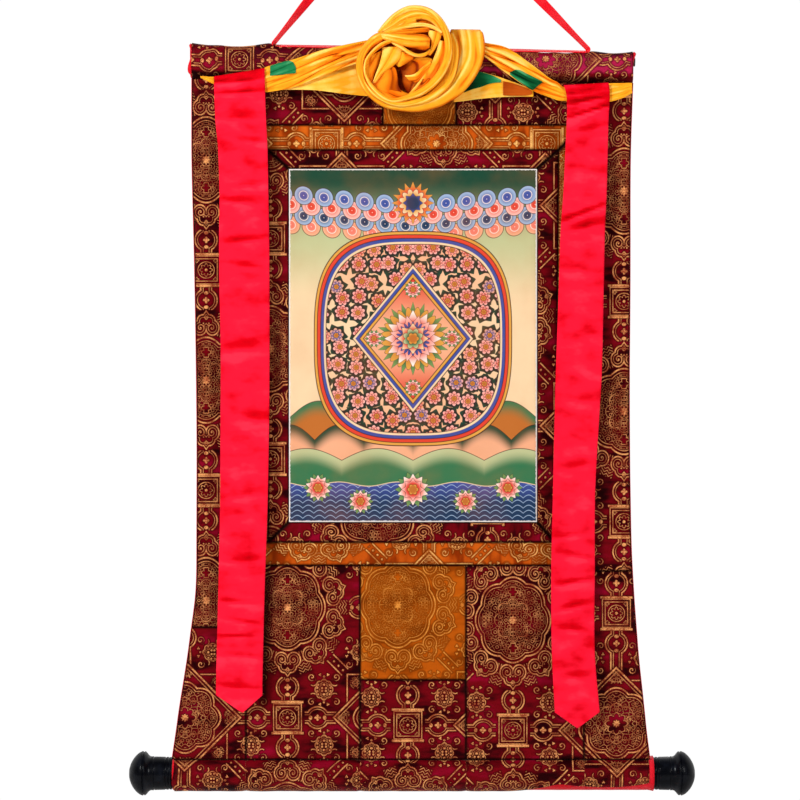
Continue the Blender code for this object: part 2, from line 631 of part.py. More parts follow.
def fold_point(fold, along, down, forward):
    """A place on a veil fold, by its shares along X and down it, brought forward by a distance."""
    rows, _, _, pleats, belly = fold
    x = mix(rows[0][0], rows[-1][0], along)
    top, bottom, front, pleat = read_rows(rows, x)
    wave = pleat * math.cos(2.0 * math.pi * pleats * down + PLEAT_DRIFT * x)
    return point(x, -front - belly * math.sin(math.pi * down) - wave - forward, mix(top, bottom, down))


def fold_grid(fold, along, down, forward=0.0):
    return [[fold_point(fold, a, d, forward) for d in down] for a in along]


def step_shares(low, high, steps):
    """Shares from one step to another by way of the whole steps between, where the fold has its lines."""
    between = [float(i) for i in range(steps + 1) if low < i < high]
    return [at / steps for at in (low, *between, high)]


def build_veil():
    """The veil's gathered folds each side of the rosette, and the patches sewn on them."""
    for name, fold in VEIL_FOLDS.items():
        steps_along, steps_down = fold[1:3]
        grid = fold_grid(fold, shares(0.0, 1.0, steps_along), shares(0.0, 1.0, steps_down))
        cloth_sheet(f"veil_{name}", grid, SATIN, "satin_yellow")
    for name, fold_name, from_along, to_along, from_down, to_down, colour in PATCHES:
        fold = VEIL_FOLDS[fold_name]
        along, down = step_shares(from_along, to_along, fold[1]), step_shares(from_down, to_down, fold[2])
        cloth_sheet(name, fold_grid(fold, along, down, SATIN + PATCH_CLEAR), SATIN, colour)


def add_strand(target, rows):
    """One wound strand: an oval section swept along a smooth path, closed at both ends."""
    stations = curve_points(rows, STRAND_STEP)
    rings = []
    for i, (x, height, depth, wide, thick) in enumerate(stations):
        before, after = stations[max(i - 1, 0)], stations[min(i + 1, len(stations) - 1)]
        along = Vector((after[0] - before[0], 0.0, after[1] - before[1])).normalized()
        across = Vector((-along.z, 0.0, along.x))
        middle = point(ROSETTE_X + x, -depth, ROSETTE_DROP - height)
        ring = []
        for side in range(STRAND_SIDES):
            angle = 2.0 * math.pi * side / STRAND_SIDES
            forward = Vector((0.0, -thick * math.sin(angle), 0.0))
            ring.append(middle + (across * wide * math.cos(angle) + forward) * MM)
        rings.append(ring)
    loops = add_grid(target, rings, ring=True)
    target.faces.new(loops[0])
    target.faces.new(list(reversed(loops[-1])))


def build_rosette():
    """The veil wound on itself: its strands fused into one body."""
    shape = bmesh.new()
    for strand in (OUTER_STRAND, INNER_STRAND, LOBE_STRAND, LEFT_PETAL, RIGHT_PETAL, BACK_STRAND):
        add_strand(shape, strand)
    bmesh.ops.recalc_face_normals(shape, faces=shape.faces)
    obj = new_object("veil_rosette", shape, "satin_yellow")
    fuse = obj.modifiers.new("Fuse", "REMESH")
    fuse.mode = "VOXEL"
    fuse.voxel_size = ROSETTE_VOXEL * MM
    fuse.use_smooth_shade = True
    thin_out = obj.modifiers.new("ThinOut", "DECIMATE")
    thin_out.ratio = ROSETTE_KEEP


def tape_path():
    """Places along the closed tape with its direction and how far it is turned edge-on, corner by corner."""
    corners = [Vector((x, 0.0, -drop)) for x, drop in TAPE_CORNERS]
    bends = []
    for i, corner in enumerate(corners):
        way_in, way_out = (corner - corners[i - 1]).normalized(), (corners[(i + 1) % 3] - corner).normalized()
        half_turn = way_in.angle(way_out) / 2
        bends.append((corner, way_in, way_out, half_turn, TAPE_CORNER * math.tan(half_turn)))
    path = []
    for i, (corner, way_in, way_out, half_turn, back) in enumerate(bends):
        centre = corner + (way_out - way_in).normalized() * TAPE_CORNER / math.cos(half_turn)
        spoke, axis = corner - way_in * back - centre, way_in.cross(way_out).normalized()
        for step in range(TAPE_CORNER_STEPS + 1):
            angle = 2.0 * half_turn * step / TAPE_CORNER_STEPS
            turned = spoke * math.cos(angle) + axis.cross(spoke) * math.sin(angle)
            path.append((centre + turned, axis.cross(turned).normalized(), TAPE_CORNER_TURN))
        next_corner, next_way_in, _, _, next_back = bends[(i + 1) % 3]
        run_from, run_to = corner + way_out * back, next_corner - next_way_in * next_back
        leg_turn = TAPE_BASE_TURN if i == 1 else TAPE_LEG_TURN
        for step in range(1, TAPE_LEG_STEPS):
            share = step / TAPE_LEG_STEPS
            opened = smooth(min(share, 1.0 - share) * TAPE_UNTWIST)
            path.append((run_from.lerp(run_to, share), way_out, mix(TAPE_CORNER_TURN, leg_turn, opened)))
    return path


def build_tape():
    """Closed triangle of flat tape: flat to the front along its legs, edge-on where it turns."""
    depth_way = Vector((0.0, 1.0, 0.0))
    rings = []
    for middle, along, turned in tape_path():
        in_plane = along.cross(depth_way).normalized()
        angle = math.radians(turned)
        wide = in_plane * math.cos(angle) + depth_way * math.sin(angle)
        thick = along.cross(wide).normalized()
        half_wide, half_thick = wide * TAPE_WIDTH / 2, thick * TAPE_THICKNESS / 2
        upper, lower = middle + half_wide, middle - half_wide
        section = (upper + half_thick, lower + half_thick, lower - half_thick, upper - half_thick)
        rings.append([corner * MM for corner in section])
    shape = bmesh.new()
    add_grid(shape, rings, ring=True, closed=True)
    bmesh.ops.recalc_face_normals(shape, faces=shape.faces)
    new_object("hanging_tape", shape, "tape_red")


def build():
    clear_scene()
    build_mount()
    build_lining()
    build_sleeve()
    build_roller()
    build_streamer("streamer_left", LEFT_STREAMER_ROWS, LEFT_STREAMER_TIP, LEFT_TOP_SLANT)
    build_streamer("streamer_right", RIGHT_STREAMER_ROWS, RIGHT_STREAMER_TIP, RIGHT_TOP_SLANT)
    build_veil()
    build_rosette()
    build_tape()


build()
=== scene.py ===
"""Looks of the hanging scroll painting. Each cloth piece and each knob is built again, finer, on the lines of
its solid, and every surface gets its finish: figured brocade, satin, painted cotton, wood and lacquer.

Sizes are in millimetres, as on the solids: X runs to the viewer's right, the front faces -Y, and a height
is a drop below the point that the tape hangs from, which is the frame's origin. Scene units are metres."""

import math

import bmesh
import bpy
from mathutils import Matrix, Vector, noise


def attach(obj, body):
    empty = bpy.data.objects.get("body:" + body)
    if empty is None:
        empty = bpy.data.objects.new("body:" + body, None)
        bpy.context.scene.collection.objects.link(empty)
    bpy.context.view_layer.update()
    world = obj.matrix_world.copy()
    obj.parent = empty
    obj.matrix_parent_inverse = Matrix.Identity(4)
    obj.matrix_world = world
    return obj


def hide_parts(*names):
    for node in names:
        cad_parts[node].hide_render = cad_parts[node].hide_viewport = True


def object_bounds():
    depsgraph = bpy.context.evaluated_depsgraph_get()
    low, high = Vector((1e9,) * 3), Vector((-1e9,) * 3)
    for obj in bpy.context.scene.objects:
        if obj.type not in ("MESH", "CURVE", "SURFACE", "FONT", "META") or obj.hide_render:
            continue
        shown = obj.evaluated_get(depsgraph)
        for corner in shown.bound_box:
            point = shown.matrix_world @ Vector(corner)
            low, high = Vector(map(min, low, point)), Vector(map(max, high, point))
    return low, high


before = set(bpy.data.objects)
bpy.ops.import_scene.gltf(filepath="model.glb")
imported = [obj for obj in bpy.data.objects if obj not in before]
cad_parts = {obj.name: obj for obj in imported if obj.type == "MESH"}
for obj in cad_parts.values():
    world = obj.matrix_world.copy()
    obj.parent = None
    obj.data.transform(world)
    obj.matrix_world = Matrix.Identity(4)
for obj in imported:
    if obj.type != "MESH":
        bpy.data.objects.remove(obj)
cad_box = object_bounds()

MM = 0.001

# The camera stands straight in front of the hanging: X and drop of its image's middle, the image's width
# and its distance from the hanging
IMAGE_MIDDLE_X, IMAGE_MIDDLE_DROP, IMAGE_WIDTH, CAMERA_AWAY = -15.3, 625.4, 944.0, 3000.0

# Lines of the hanging, as its solids have them, but for the sleeve's ends and the border's right edge, which
# differ from the solids' by up to 8 millimetres
SLEEVE_LEFT, SLEEVE_RIGHT = -260.6, 259.0
SLEEVE_SEAM_LEFT, SLEEVE_SEAM_RIGHT, SEAM_TUCK = 246.6, 252.5, 1.6
BAND_TOP, BORDER_TOP = 300.9, 330.4
PAINTING_LEFT, PAINTING_RIGHT = -146.3, 146.3
PAINTING_TOP, PAINTING_BOTTOM = 352.8, 769.4
BORDER_LEFT, BORDER_RIGHT, BORDER_RIGHT_LOW, BORDER_BOTTOM = -171.1, 172.0, 168.0, 793.0
FRAME_LEFT, FRAME_RIGHT, FRAME_BOTTOM = -197.1, 201.8, 820.4
HEAVEN_PATCH_LEFT, HEAVEN_PATCH_RIGHT = -35.4, 50.7
DOOR_LEFT, DOOR_RIGHT, DOOR_BOTTOM = -62.5, 62.5, 955.8
LEFT_CROSS_SEAM, RIGHT_CROSS_SEAM = 893.3, 827.2
CREASE = 1049.6
# Drop, X of the hanging's left edge, X of its right edge
EDGE_ROWS = (
    (246, -260.8, 259.4), (342, -260.6, 256.4), (483, -257.2, 256), (640, -254.9, 255.2),
    (790, -254.9, 257.2), (850, -256, 260.2), (909, -263.1, 264.3), (956, -270.2, 269),
    (1003, -277.3, 273.8), (1066, -286.6, 281.6),
)
WAVE_LENGTH, WAVE_HEIGHT, WAVE_START, WAVE_FULL, WAVE_SETTLES = 92.0, 2.4, 780.0, 930.0, 40.0
CLOTH, SATIN = 1.0, 0.8
GRID_STEP = 4.5
# Least flat side of a sheet, in metres: a sheet's sides are taken as no less than this
LEAST_FLAT = 0.0102
# How far a satin's painted light and shade go, from the painted highlight on its ridges to the painted shade
# at the bottom of its folds
LIGHTEST, DEEPEST = -0.2, 1.0

# Puckers along a seam: distances of the grid's lines from it, how deep and wide its groove is, the swell
# beside it
SEAM_LINES = (0.0, 0.7, 1.5, 2.8, 4.6)
SEAM_CLEAR, SEAM_DIP, SEAM_WIDE, SWELL, SWELL_AT, SWELL_WIDE = 0.05, 0.6, 1.3, 0.7, 5.0, 3.4
SEAM_SHADE, SEAM_SHADE_WIDE = 0.92, 1.9
MITRE_SHADE, MITRE_SHADE_WIDE = 0.97, 3.5
STREAMER_SHADE, STREAMER_SHADE_WIDE, STREAMER_SHADE_INSIDE = 0.75, 6.0, 1.0
STREAMER_SHADE_TOP, STREAMER_SHADE_END, STREAMER_SHADE_GROWS, STREAMER_SHADE_FADES = 790.0, 1000.0, 50.0, 30.0
RELIEF_HEIGHT, RELIEF_WIDE, RELIEF_TALL = 0.7, 74.0, 38.0
LINING_DEPTH, LINING_SHOWS, LINING_SHORT = 1.7, 0.9, 2.6

# Repeat of the woven figure: a star stands at its corner, its short way runs across and its long way down
SHORT_REPEAT, LONG_REPEAT = 240.0, 260.0


def clamp(value, low, high):
    return min(max(value, low), high)


def bell(distance, wide):
    """1 where the distance is 0, falling away softly about as far as the width given."""
    return math.exp(-((distance / wide) ** 2))


def smooth(share):
    share = clamp(share, 0.0, 1.0)
    return share * share * (3.0 - 2.0 * share)


def mix(low, high, share):
    return low + (high - low) * share


def shares(low, high, steps):
    return [mix(low, high, i / steps) for i in range(steps + 1)]


def read_rows(rows, at):
    """A table's columns after its first, which sorts it, read on a smooth curve through its rows."""
    if at <= rows[0][0]:
        return rows[0][1:]
    if at >= rows[-1][0]:
        return rows[-1][1:]
    here = next(i for i in range(len(rows) - 1) if at <= rows[i + 1][0])
    low, high = rows[here], rows[here + 1]
    before, after = rows[max(here - 1, 0)], rows[min(here + 2, len(rows) - 1)]
    span = high[0] - low[0]
    t = (at - low[0]) / span
    found = []
    for k in range(1, len(low)):
        slope_in = (high[k] - before[k]) / (high[0] - before[0]) * span
        slope_out = (after[k] - low[k]) / (after[0] - low[0]) * span
        found.append(
            low[k] * (2 * t**3 - 3 * t**2 + 1)
            + slope_in * (t**3 - 2 * t**2 + t)
            + high[k] * (3 * t**2 - 2 * t**3)
            + slope_out * (t**3 - t**2)
        )
    return tuple(found)


def curve_points(rows, step):
    """Rows about one step apart on a smooth curve through rows whose first three numbers are a place."""
    lengths = [math.dist(rows[i][:3], rows[i + 1][:3]) for i in range(len(rows) - 1)]
    keyed, run = [(0.0, *rows[0])], 0.0
    for row, length in zip(rows[1:], lengths):
        run += length
        keyed.append((run, *row))
    count = max(4, round(run / step))
    return [read_rows(keyed, run * i / count) for i in range(count + 1)]


def point(x, depth, drop):
    return Vector((x * MM, depth * MM, -drop * MM))


def seen_place(x, forward, drop):
    """X, depth and drop of a place before the hanging that the camera sees at an X and drop on it."""
    nearer = 1.0 - forward / CAMERA_AWAY
    return mix(IMAGE_MIDDLE_X, x, nearer), -forward, mix(IMAGE_MIDDLE_DROP, drop, nearer)


def wobble(a, b, c=0.0):
    """Smooth unevenness from -1 to 1, the same on every run."""
    return noise.noise(Vector((a, b, c)))


# Making a piece


def grid_faces(rows, columns, ring=False):
    """Quads between a grid's rows of points, numbered row by row: ring joins the last column to the first."""
    faces = []
    for i in range(rows - 1):
        for j in range(columns if ring else columns - 1):
            k = (j + 1) % columns
            faces.append((i * columns + j, i * columns + k, (i + 1) * columns + k, (i + 1) * columns + j))
    return faces


def new_object(name, data):
    obj = bpy.data.objects.new(name, data)
    bpy.context.scene.collection.objects.link(obj)
    return obj


def new_mesh(name, places, faces, woven=()):
    """A mesh whose points carry what woven gives: a place on the cloth and how deep the painted shade is
    there.
    """
    mesh = bpy.data.meshes.new(name)
    mesh.from_pydata(places, [], faces)
    if woven:
        for item, place in zip(mesh.attributes.new("cloth", "FLOAT_VECTOR", "POINT").data, woven):
            item.vector = place
    return mesh


def turn_outward(mesh):
    """Turns a closed mesh's faces outwards and gives their whole area."""
    shape = bmesh.new()
    shape.from_mesh(mesh)
    bmesh.ops.recalc_face_normals(shape, faces=shape.faces)
    area = sum(face.calc_area() for face in shape.faces)
    shape.to_mesh(mesh)
    shape.free()
    return area


def new_piece(mesh, slot, node):
    """A shown piece: it rides on the part's one body and stands for the node named."""
    obj = new_object(mesh.name, mesh)
    mesh.materials.append(finish(slot))
    mesh.shade_smooth()
    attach(obj, "root")
    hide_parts(node)
    return obj


def grid_size(grid):
    """A sheet's flat size in metres: its mean width and mean length along the cloth."""
    rows = [[point(*place[:3]) for place in row] for row in grid]
    across = [sum((b - a).length for a, b in zip(row, row[1:])) for row in rows]
    columns = list(zip(*rows))
    along = [sum((b - a).length for a, b in zip(column, column[1:])) for column in columns]
    return sum(across) / len(across), sum(along) / len(along)


def cloth_piece(node, slot, grid, thickness=SATIN, ending="cloth", ring=False):
    """A thin sheet on a grid of points, which stands for a node and is named after it. Each point is given as
    X, depth, drop and its place on the cloth, across and along, with how deep the painted shade is there,
    below 0 a painted highlight or sheen, where it isn't plain."""
    flat = [place for row in grid for place in row]
    faces = grid_faces(len(grid), len(grid[0]), ring)
    woven = [(*place[3:], 0.0)[:3] for place in flat]
    mesh = new_mesh(f"{node}_{ending}", [point(*place[:3]) for place in flat], faces, woven)
    obj = new_piece(mesh, slot, node)
    modifier = obj.modifiers.new("Thickness", "SOLIDIFY")
    modifier.thickness = thickness * MM
    modifier.offset = 0.0
    [max(side, LEAST_FLAT) for side in grid_size(grid)]


# The hanging's own sheets


def edge_left(drop):
    return read_rows(EDGE_ROWS, drop)[0]


def edge_right(drop):
    return read_rows(EDGE_ROWS, drop)[1]


def seam_drop(x):
    """The seam under the top sleeve, which slopes a little with the rod and is tucked up against it."""
    share = (x - SLEEVE_LEFT) / (SLEEVE_RIGHT - SLEEVE_LEFT)
    return mix(SLEEVE_SEAM_LEFT, SLEEVE_SEAM_RIGHT, share) - SEAM_TUCK


def cloth_depth(x, drop):
    """Depth of the hanging's middle plane: nearly flat above, in soft waves towards the roller."""
    growing = smooth((drop - WAVE_START) / (WAVE_FULL - WAVE_START)) * smooth((CREASE - drop) / WAVE_SETTLES)
    wave = -WAVE_HEIGHT * growing * math.sin(2.0 * math.pi * (drop - WAVE_START) / WAVE_LENGTH)
    held = smooth((drop - SLEEVE_SEAM_RIGHT) / WAVE_SETTLES) * smooth((CREASE - drop) / WAVE_SETTLES)
    return wave - RELIEF_HEIGHT * held * wobble(x / RELIEF_WIDE, drop / RELIEF_TALL)


def level(drop):
    return lambda x: drop


def upright(x):
    return lambda drop: x


# Seams of the mitred corners, each from its X and drop at one end to those at the other: the border's top
# left, top right, bottom left and bottom right corner and the orange frame's top right corner
MITRES = (
    (BORDER_LEFT, BORDER_TOP, PAINTING_LEFT, PAINTING_TOP),
    (BORDER_RIGHT, BORDER_TOP, PAINTING_RIGHT, PAINTING_TOP),
    (BORDER_LEFT, BORDER_BOTTOM, PAINTING_LEFT, PAINTING_BOTTOM),
    (BORDER_RIGHT_LOW, BORDER_BOTTOM, PAINTING_RIGHT, PAINTING_BOTTOM),
    (BORDER_RIGHT, BORDER_TOP, FRAME_RIGHT, BAND_TOP),
)


def slanted(x_from, drop_from, x_to, drop_to):
    """The X of a mitred corner's seam at a given drop."""
    return lambda drop: mix(x_from, x_to, (drop - drop_from) / (drop_to - drop_from))


def mitre(x_from, drop_from, x_to, drop_to):
    """The drop of a mitred corner's seam at a given X."""
    return lambda x: mix(drop_from, drop_to, (x - x_from) / (x_to - x_from))


def seamed_shares(length):
    """Shares of the way across a piece: close together near its two seams, a grid step apart between them."""
    near = [line for line in SEAM_LINES if line < length / 4]
    inner = length - 2 * near[-1]
    between = shares(near[-1], length - near[-1], max(2, round(inner / GRID_STEP)))
    lines = near[:-1] + between + [length - line for line in reversed(near[:-1])]
    return [line / length for line in lines]


def pucker(from_seam):
    """How far the cloth turns back at a seam's groove and swells beside it."""
    return SEAM_DIP * bell(from_seam, SEAM_WIDE) - SWELL * bell(from_seam - SWELL_AT, SWELL_WIDE)


def streamer_shade(x, drop):
    """Shade on the brocade beside the lower half of the left streamer, along its right edge."""
    from_edge = x - read_rows(LEFT_STREAMER_ROWS, drop)[1] - STREAMER_SHADE_INSIDE
    growing = smooth((drop - STREAMER_SHADE_TOP) / STREAMER_SHADE_GROWS)
    fading = smooth((STREAMER_SHADE_END - drop) / STREAMER_SHADE_FADES)
    return STREAMER_SHADE * (growing * fading) * bell(from_edge, STREAMER_SHADE_WIDE)


def mitre_shade(x, drop):
    """Shadow in the deep folds of the mitred corners."""
    nearest = math.inf
    for x_from, drop_from, x_to, drop_to in MITRES:
        run_x, run_drop = x_to - x_from, drop_to - drop_from
        along = ((x - x_from) * run_x + (drop - drop_from) * run_drop) / (run_x ** 2 + run_drop ** 2)
        along = clamp(along, 0.0, 1.0)
        nearest = min(nearest, math.hypot(x - x_from - along * run_x, drop - drop_from - along * run_drop))
    return MITRE_SHADE * bell(nearest, MITRE_SHADE_WIDE)


def hung_grid(left, right, top, bottom, star, turned=False, behind=0.0):
    """Fine grid of a hung sheet between edges given as functions. star is the place where a star of the woven
    figure has its middle, and a turned sheet has the figure's long way running across."""
    middle_x = (left(top(0.0)) + right(top(0.0))) / 2
    middle_drop = (top(middle_x) + bottom(middle_x)) / 2
    wide = max(right(d(middle_x)) - left(d(middle_x)) for d in (top, bottom, level(middle_drop)))
    tall = max(bottom(x(middle_drop)) - top(x(middle_drop)) for x in (left, right, upright(middle_x)))
    grid = []
    for down in seamed_shares(tall):
        row = []
        for across in seamed_shares(wide):
            drop = middle_drop
            for _ in range(4):
                x = mix(left(drop) + SEAM_CLEAR, right(drop) - SEAM_CLEAR, across)
                drop = mix(top(x) + SEAM_CLEAR, bottom(x) - SEAM_CLEAR, down)
            from_seam = min(across * wide, (1 - across) * wide, down * tall, (1 - down) * tall)
            depth = cloth_depth(x, drop) + behind + (0.0 if behind else pucker(from_seam))
            place = (drop - star[1], x - star[0]) if turned else (x - star[0], drop - star[1])
            # Painted shade along the seams, beside the left streamer and in the mitred corners
            seam_shade = SEAM_SHADE * bell(from_seam, SEAM_SHADE_WIDE)
            shade = max(seam_shade, streamer_shade(x, drop), mitre_shade(x, drop))
            row.append((x, depth, drop, *place, 0.0 if behind else shade))
        grid.append(row)
    return grid


def build_mount():
    """Brocade strips and panels round the painted panel, each cut at its own place of the woven figure."""
    maroon, orange, gold, painted = "brocade_maroon", "brocade_orange", "brocade_gold", "painted_cotton"
    frame_left, frame_right, frame_bottom = upright(FRAME_LEFT), upright(FRAME_RIGHT), level(FRAME_BOTTOM)
    left_seam, right_seam = level(LEFT_CROSS_SEAM), level(RIGHT_CROSS_SEAM)
    patch_left, patch_right = upright(HEAVEN_PATCH_LEFT), upright(HEAVEN_PATCH_RIGHT)
    band_top, crease = level(BAND_TOP), level(CREASE)
    border_left, border_top, border_bottom = upright(BORDER_LEFT), level(BORDER_TOP), level(BORDER_BOTTOM)
    border_right = slanted(BORDER_RIGHT, BORDER_TOP, BORDER_RIGHT_LOW, BORDER_BOTTOM)
    picture_left, picture_right = upright(PAINTING_LEFT), upright(PAINTING_RIGHT)
    picture_top, picture_bottom = level(PAINTING_TOP), level(PAINTING_BOTTOM)
    door_left, door_right, door_bottom = upright(DOOR_LEFT), upright(DOOR_RIGHT), level(DOOR_BOTTOM)
    top_left, top_right, bottom_left, bottom_right, outer_right = MITRES
    upper_ends = (slanted(*top_left), slanted(*top_right))
    lower_ends = (slanted(*bottom_left), slanted(*bottom_right))
    left_ends = (mitre(*top_left), mitre(*bottom_left))
    right_ends = (mitre(*top_right), mitre(*bottom_right))
    outer_slanted, outer_mitre = slanted(*outer_right), mitre(*outer_right)
    turned = ("frame_strip_top", "frame_strip_bottom", "border_strip_bottom")
    # Name, left, right, top and bottom edge, slot, place of a star's middle
    for name, *edges, slot, star in (
        ("side_strip_left_upper", edge_left, frame_left, seam_drop, left_seam, maroon, (-124, 472)),
        ("side_strip_left_lower", edge_left, frame_left, left_seam, crease, maroon, (-269, 1000)),
        ("side_strip_right_upper", frame_right, edge_right, seam_drop, right_seam, maroon, (129, 249)),
        ("side_strip_right_lower", frame_right, edge_right, right_seam, crease, maroon, (240, 1007)),
        ("heaven_panel_left", frame_left, patch_left, seam_drop, band_top, maroon, (-81, 231)),
        ("heaven_patch", patch_left, patch_right, seam_drop, band_top, gold, (128, 395)),
        ("heaven_panel_right", patch_right, frame_right, seam_drop, band_top, maroon, (97, 209)),
        ("frame_strip_top", frame_left, outer_slanted, band_top, border_top, orange, (28, 323)),
        ("frame_strip_bottom", frame_left, frame_right, border_bottom, frame_bottom, orange, (19, 868)),
        ("frame_strip_left", frame_left, border_left, border_top, border_bottom, orange, (-288, 435)),
        ("frame_strip_right", border_right, frame_right, outer_mitre, border_bottom, orange, (300, 500)),
        ("border_strip_top", *upper_ends, border_top, picture_top, maroon, (-84, 400)),
        ("border_strip_bottom", *lower_ends, picture_bottom, border_bottom, maroon, (88, 875)),
        ("border_strip_left", border_left, picture_left, *left_ends, maroon, (-288, 435)),
        ("border_strip_right", picture_right, border_right, *right_ends, maroon, (216, 396)),
        ("painted_panel", picture_left, picture_right, picture_top, picture_bottom, painted, (0, 561)),
        ("earth_panel_left", frame_left, door_left, frame_bottom, crease, maroon, (-28, 1000)),
        ("earth_panel_right", door_right, frame_right, frame_bottom, crease, maroon, (-2, 1015)),
        ("earth_panel_middle", door_left, door_right, door_bottom, crease, maroon, (114, 1009)),
        ("door_patch", door_left, door_right, frame_bottom, door_bottom, gold, (102, 997)),
    ):
        grid = hung_grid(*edges, star, name in turned)
        cloth_piece(name, slot, grid, CLOTH)


def build_lining():
    """Red satin behind the mount, a little wider than it, so that its edge shows along both sides."""
    def left(drop):
        return edge_left(drop) - LINING_SHOWS

    def right(drop):
        return edge_right(drop) + LINING_SHOWS

    grid = hung_grid(left, right, seam_drop, level(CREASE - LINING_SHORT), (0, 0), behind=LINING_DEPTH)
    cloth_piece("lining", "lining_red", grid)


# Top sleeve and its rod

# Top sleeve: X, drop of its upper line, drop of its lower line
SLEEVE_ROWS = (
    (-262, 203.4, 247), (-248, 205.2, 247), (-229, 206.4, 247), (-210, 207.5, 247.2), (-192, 206.8, 247.4),
    (-180, 205.2, 247.5), (-169, 203.8, 247.6), (-161, 205.8, 247.7), (-148, 207.8, 247.8),
    (-98, 208.8, 248.3), (-15, 211, 249.2), (120, 213.6, 250.6), (142, 214.2, 250.8), (156, 215.2, 251),
    (168, 214.9, 251.1), (182, 215.6, 251.3), (198, 214.4, 251.5), (210, 213.4, 251.6), (223, 214.4, 251.8),
    (238, 216, 252), (250, 214.8, 252.1), (261, 213.6, 252.3),
)
SLEEVE_DEPTH, SLEEVE_SIDES, SLEEVE_STEPS, SLEEVE_ROUNDNESS, SLEEVE_FULLER = 24.0, 60, 120, 2.2, 0.06
SLEEVE_INSET, SLEEVE_STAR_X, SLEEVE_STAR_DROP = 1.05, -84.0, 224.0
SLEEVE_SHADE_LEFT, SLEEVE_SHADE_RIGHT, SLEEVE_SHEEN_LEFT, SLEEVE_SHEEN_RIGHT = 0.72, 0.46, 0.1, 0.8
SHEEN_GROWS, SHEEN_ENDS, SHEEN_FADES, SLEEVE_SHADE_FROM, SLEEVE_SHADE_GROWS = 0.3, 0.8, 0.15, 0.7, 0.16
WRINKLE_MIDDLE, WRINKLE_ENDS, WRINKLE_REACH, WRINKLE_LENGTH = 0.25, 0.55, 45.0, 13.0
END_LINING_INSIDE, END_LINING_INSET, END_LINING_STEPS, END_LINING_MOUTH = 16.0, 2.7, 10, 0.625
END_LINING_GIRTH, END_LINING_WIDTH = 60.0, 10.0
# Crumpled lining at the sleeve's ends: share of the turn, how far it stands out at the left and the right
CRUMPLE_ROWS = (
    (0, 2.4, 3.4), (0.08, 2.8, 3.6), (0.18, 0.1, 0.8), (0.23, 0.8, -0.4), (0.3, 3.8, -0.6),
    (0.37, 4.2, -0.4), (0.44, 0.8, -0.2), (0.6, 2.4, 0.4), (0.8, 3, 0.8), (1, 2.4, 3.4),
)
CRUMPLE_SWELL = 1.6


def sleeve_place(x, turn, grow):
    """Depth and drop round the sleeve at one X, by the turn from its top over its front, in whole turns."""
    top_drop, bottom_drop = read_rows(SLEEVE_ROWS, x)
    angle = 2.0 * math.pi * turn
    across, up = math.sin(angle), math.cos(angle)
    power = 2.0 / SLEEVE_ROUNDNESS
    fuller = 1.0 - SLEEVE_FULLER * up
    depth = math.copysign(abs(across) ** power, across) * (SLEEVE_DEPTH / 2 + grow) * fuller
    height = math.copysign(abs(up) ** power, up) * ((bottom_drop - top_drop) / 2 + grow)
    return -depth, (top_drop + bottom_drop) / 2 - height


def sleeve_wrinkle(x, turn):
    """Soft gathers where the sleeve is drawn in over its rod, stronger near its ends."""
    from_end = min(x - SLEEVE_LEFT, SLEEVE_RIGHT - x)
    strength = WRINKLE_MIDDLE + WRINKLE_ENDS * math.exp(-from_end / WRINKLE_REACH)
    return strength * wobble(x / WRINKLE_LENGTH, 4.0 * math.sin(math.pi * turn), 3.0)


def sleeve_painted_shadow_and_sheen(across, down):
    """Shadow along the sleeve's lower line, above 0, and the sheen over the middle of its height, below 0."""
    sheen = mix(SLEEVE_SHEEN_LEFT, SLEEVE_SHEEN_RIGHT, across) * smooth(down / SHEEN_GROWS)
    shade = mix(SLEEVE_SHADE_LEFT, SLEEVE_SHADE_RIGHT, across)
    shade *= smooth((down - SLEEVE_SHADE_FROM) / SLEEVE_SHADE_GROWS)
    return shade - sheen * smooth((SHEEN_ENDS - down) / SHEEN_FADES)


def build_sleeve():
    grid = []
    for x in shares(SLEEVE_LEFT, SLEEVE_RIGHT, SLEEVE_STEPS):
        ring, run = [], 0.0
        for turn in shares(-0.25, 0.75, SLEEVE_SIDES):
            place = sleeve_place(x, turn, sleeve_wrinkle(x, turn) - SLEEVE_INSET)
            run += math.dist(place, ring[-1][1:3]) if ring else 0.0
            ring.append((x, *place, x - SLEEVE_STAR_X, run))
        front = next(p[4] for p in ring[SLEEVE_SIDES // 4:] if p[2] >= SLEEVE_STAR_DROP)
        top, low = read_rows(SLEEVE_ROWS, x)
        across = (x - SLEEVE_LEFT) / (SLEEVE_RIGHT - SLEEVE_LEFT)
        grid.append([(*p[:4], p[4] - front, sleeve_painted_shadow_and_sheen(across, (p[2] - top) / (low - top))) for p in ring])
    cloth_piece("top_sleeve", "brocade_maroon", grid, CLOTH)
    build_end_lining("sleeve_lining_left", SLEEVE_LEFT, -1.0, 0)
    build_end_lining("sleeve_lining_right", SLEEVE_RIGHT, 1.0, 1)


def build_end_lining(name, end, way, column):
    """Lining that lines the sleeve's end and stands out of it, crumpled and rolled over."""
    grid = []
    for share in shares(0.0, 1.0, END_LINING_STEPS):
        inward = END_LINING_INSIDE * max(0.0, 1.0 - share / END_LINING_MOUTH)
        stands = max(0.0, (share - END_LINING_MOUTH) / (1.0 - END_LINING_MOUTH))
        ring = []
        for turn in shares(-0.25, 0.75, SLEEVE_SIDES):
            out = read_rows(CRUMPLE_ROWS, turn % 1.0)[column]
            swell = CRUMPLE_SWELL * math.sin(math.pi * stands) * (0.5 + wobble(5.0 * turn, stands, end))
            x = end - way * (inward - stands * out)
            place = sleeve_place(clamp(x, SLEEVE_LEFT, SLEEVE_RIGHT), turn, swell - END_LINING_INSET)
            ring.append((x, *place, END_LINING_GIRTH * turn, END_LINING_WIDTH * share))
        grid.append(ring)
    cloth_piece(name, "lining_red", grid)


# Roller

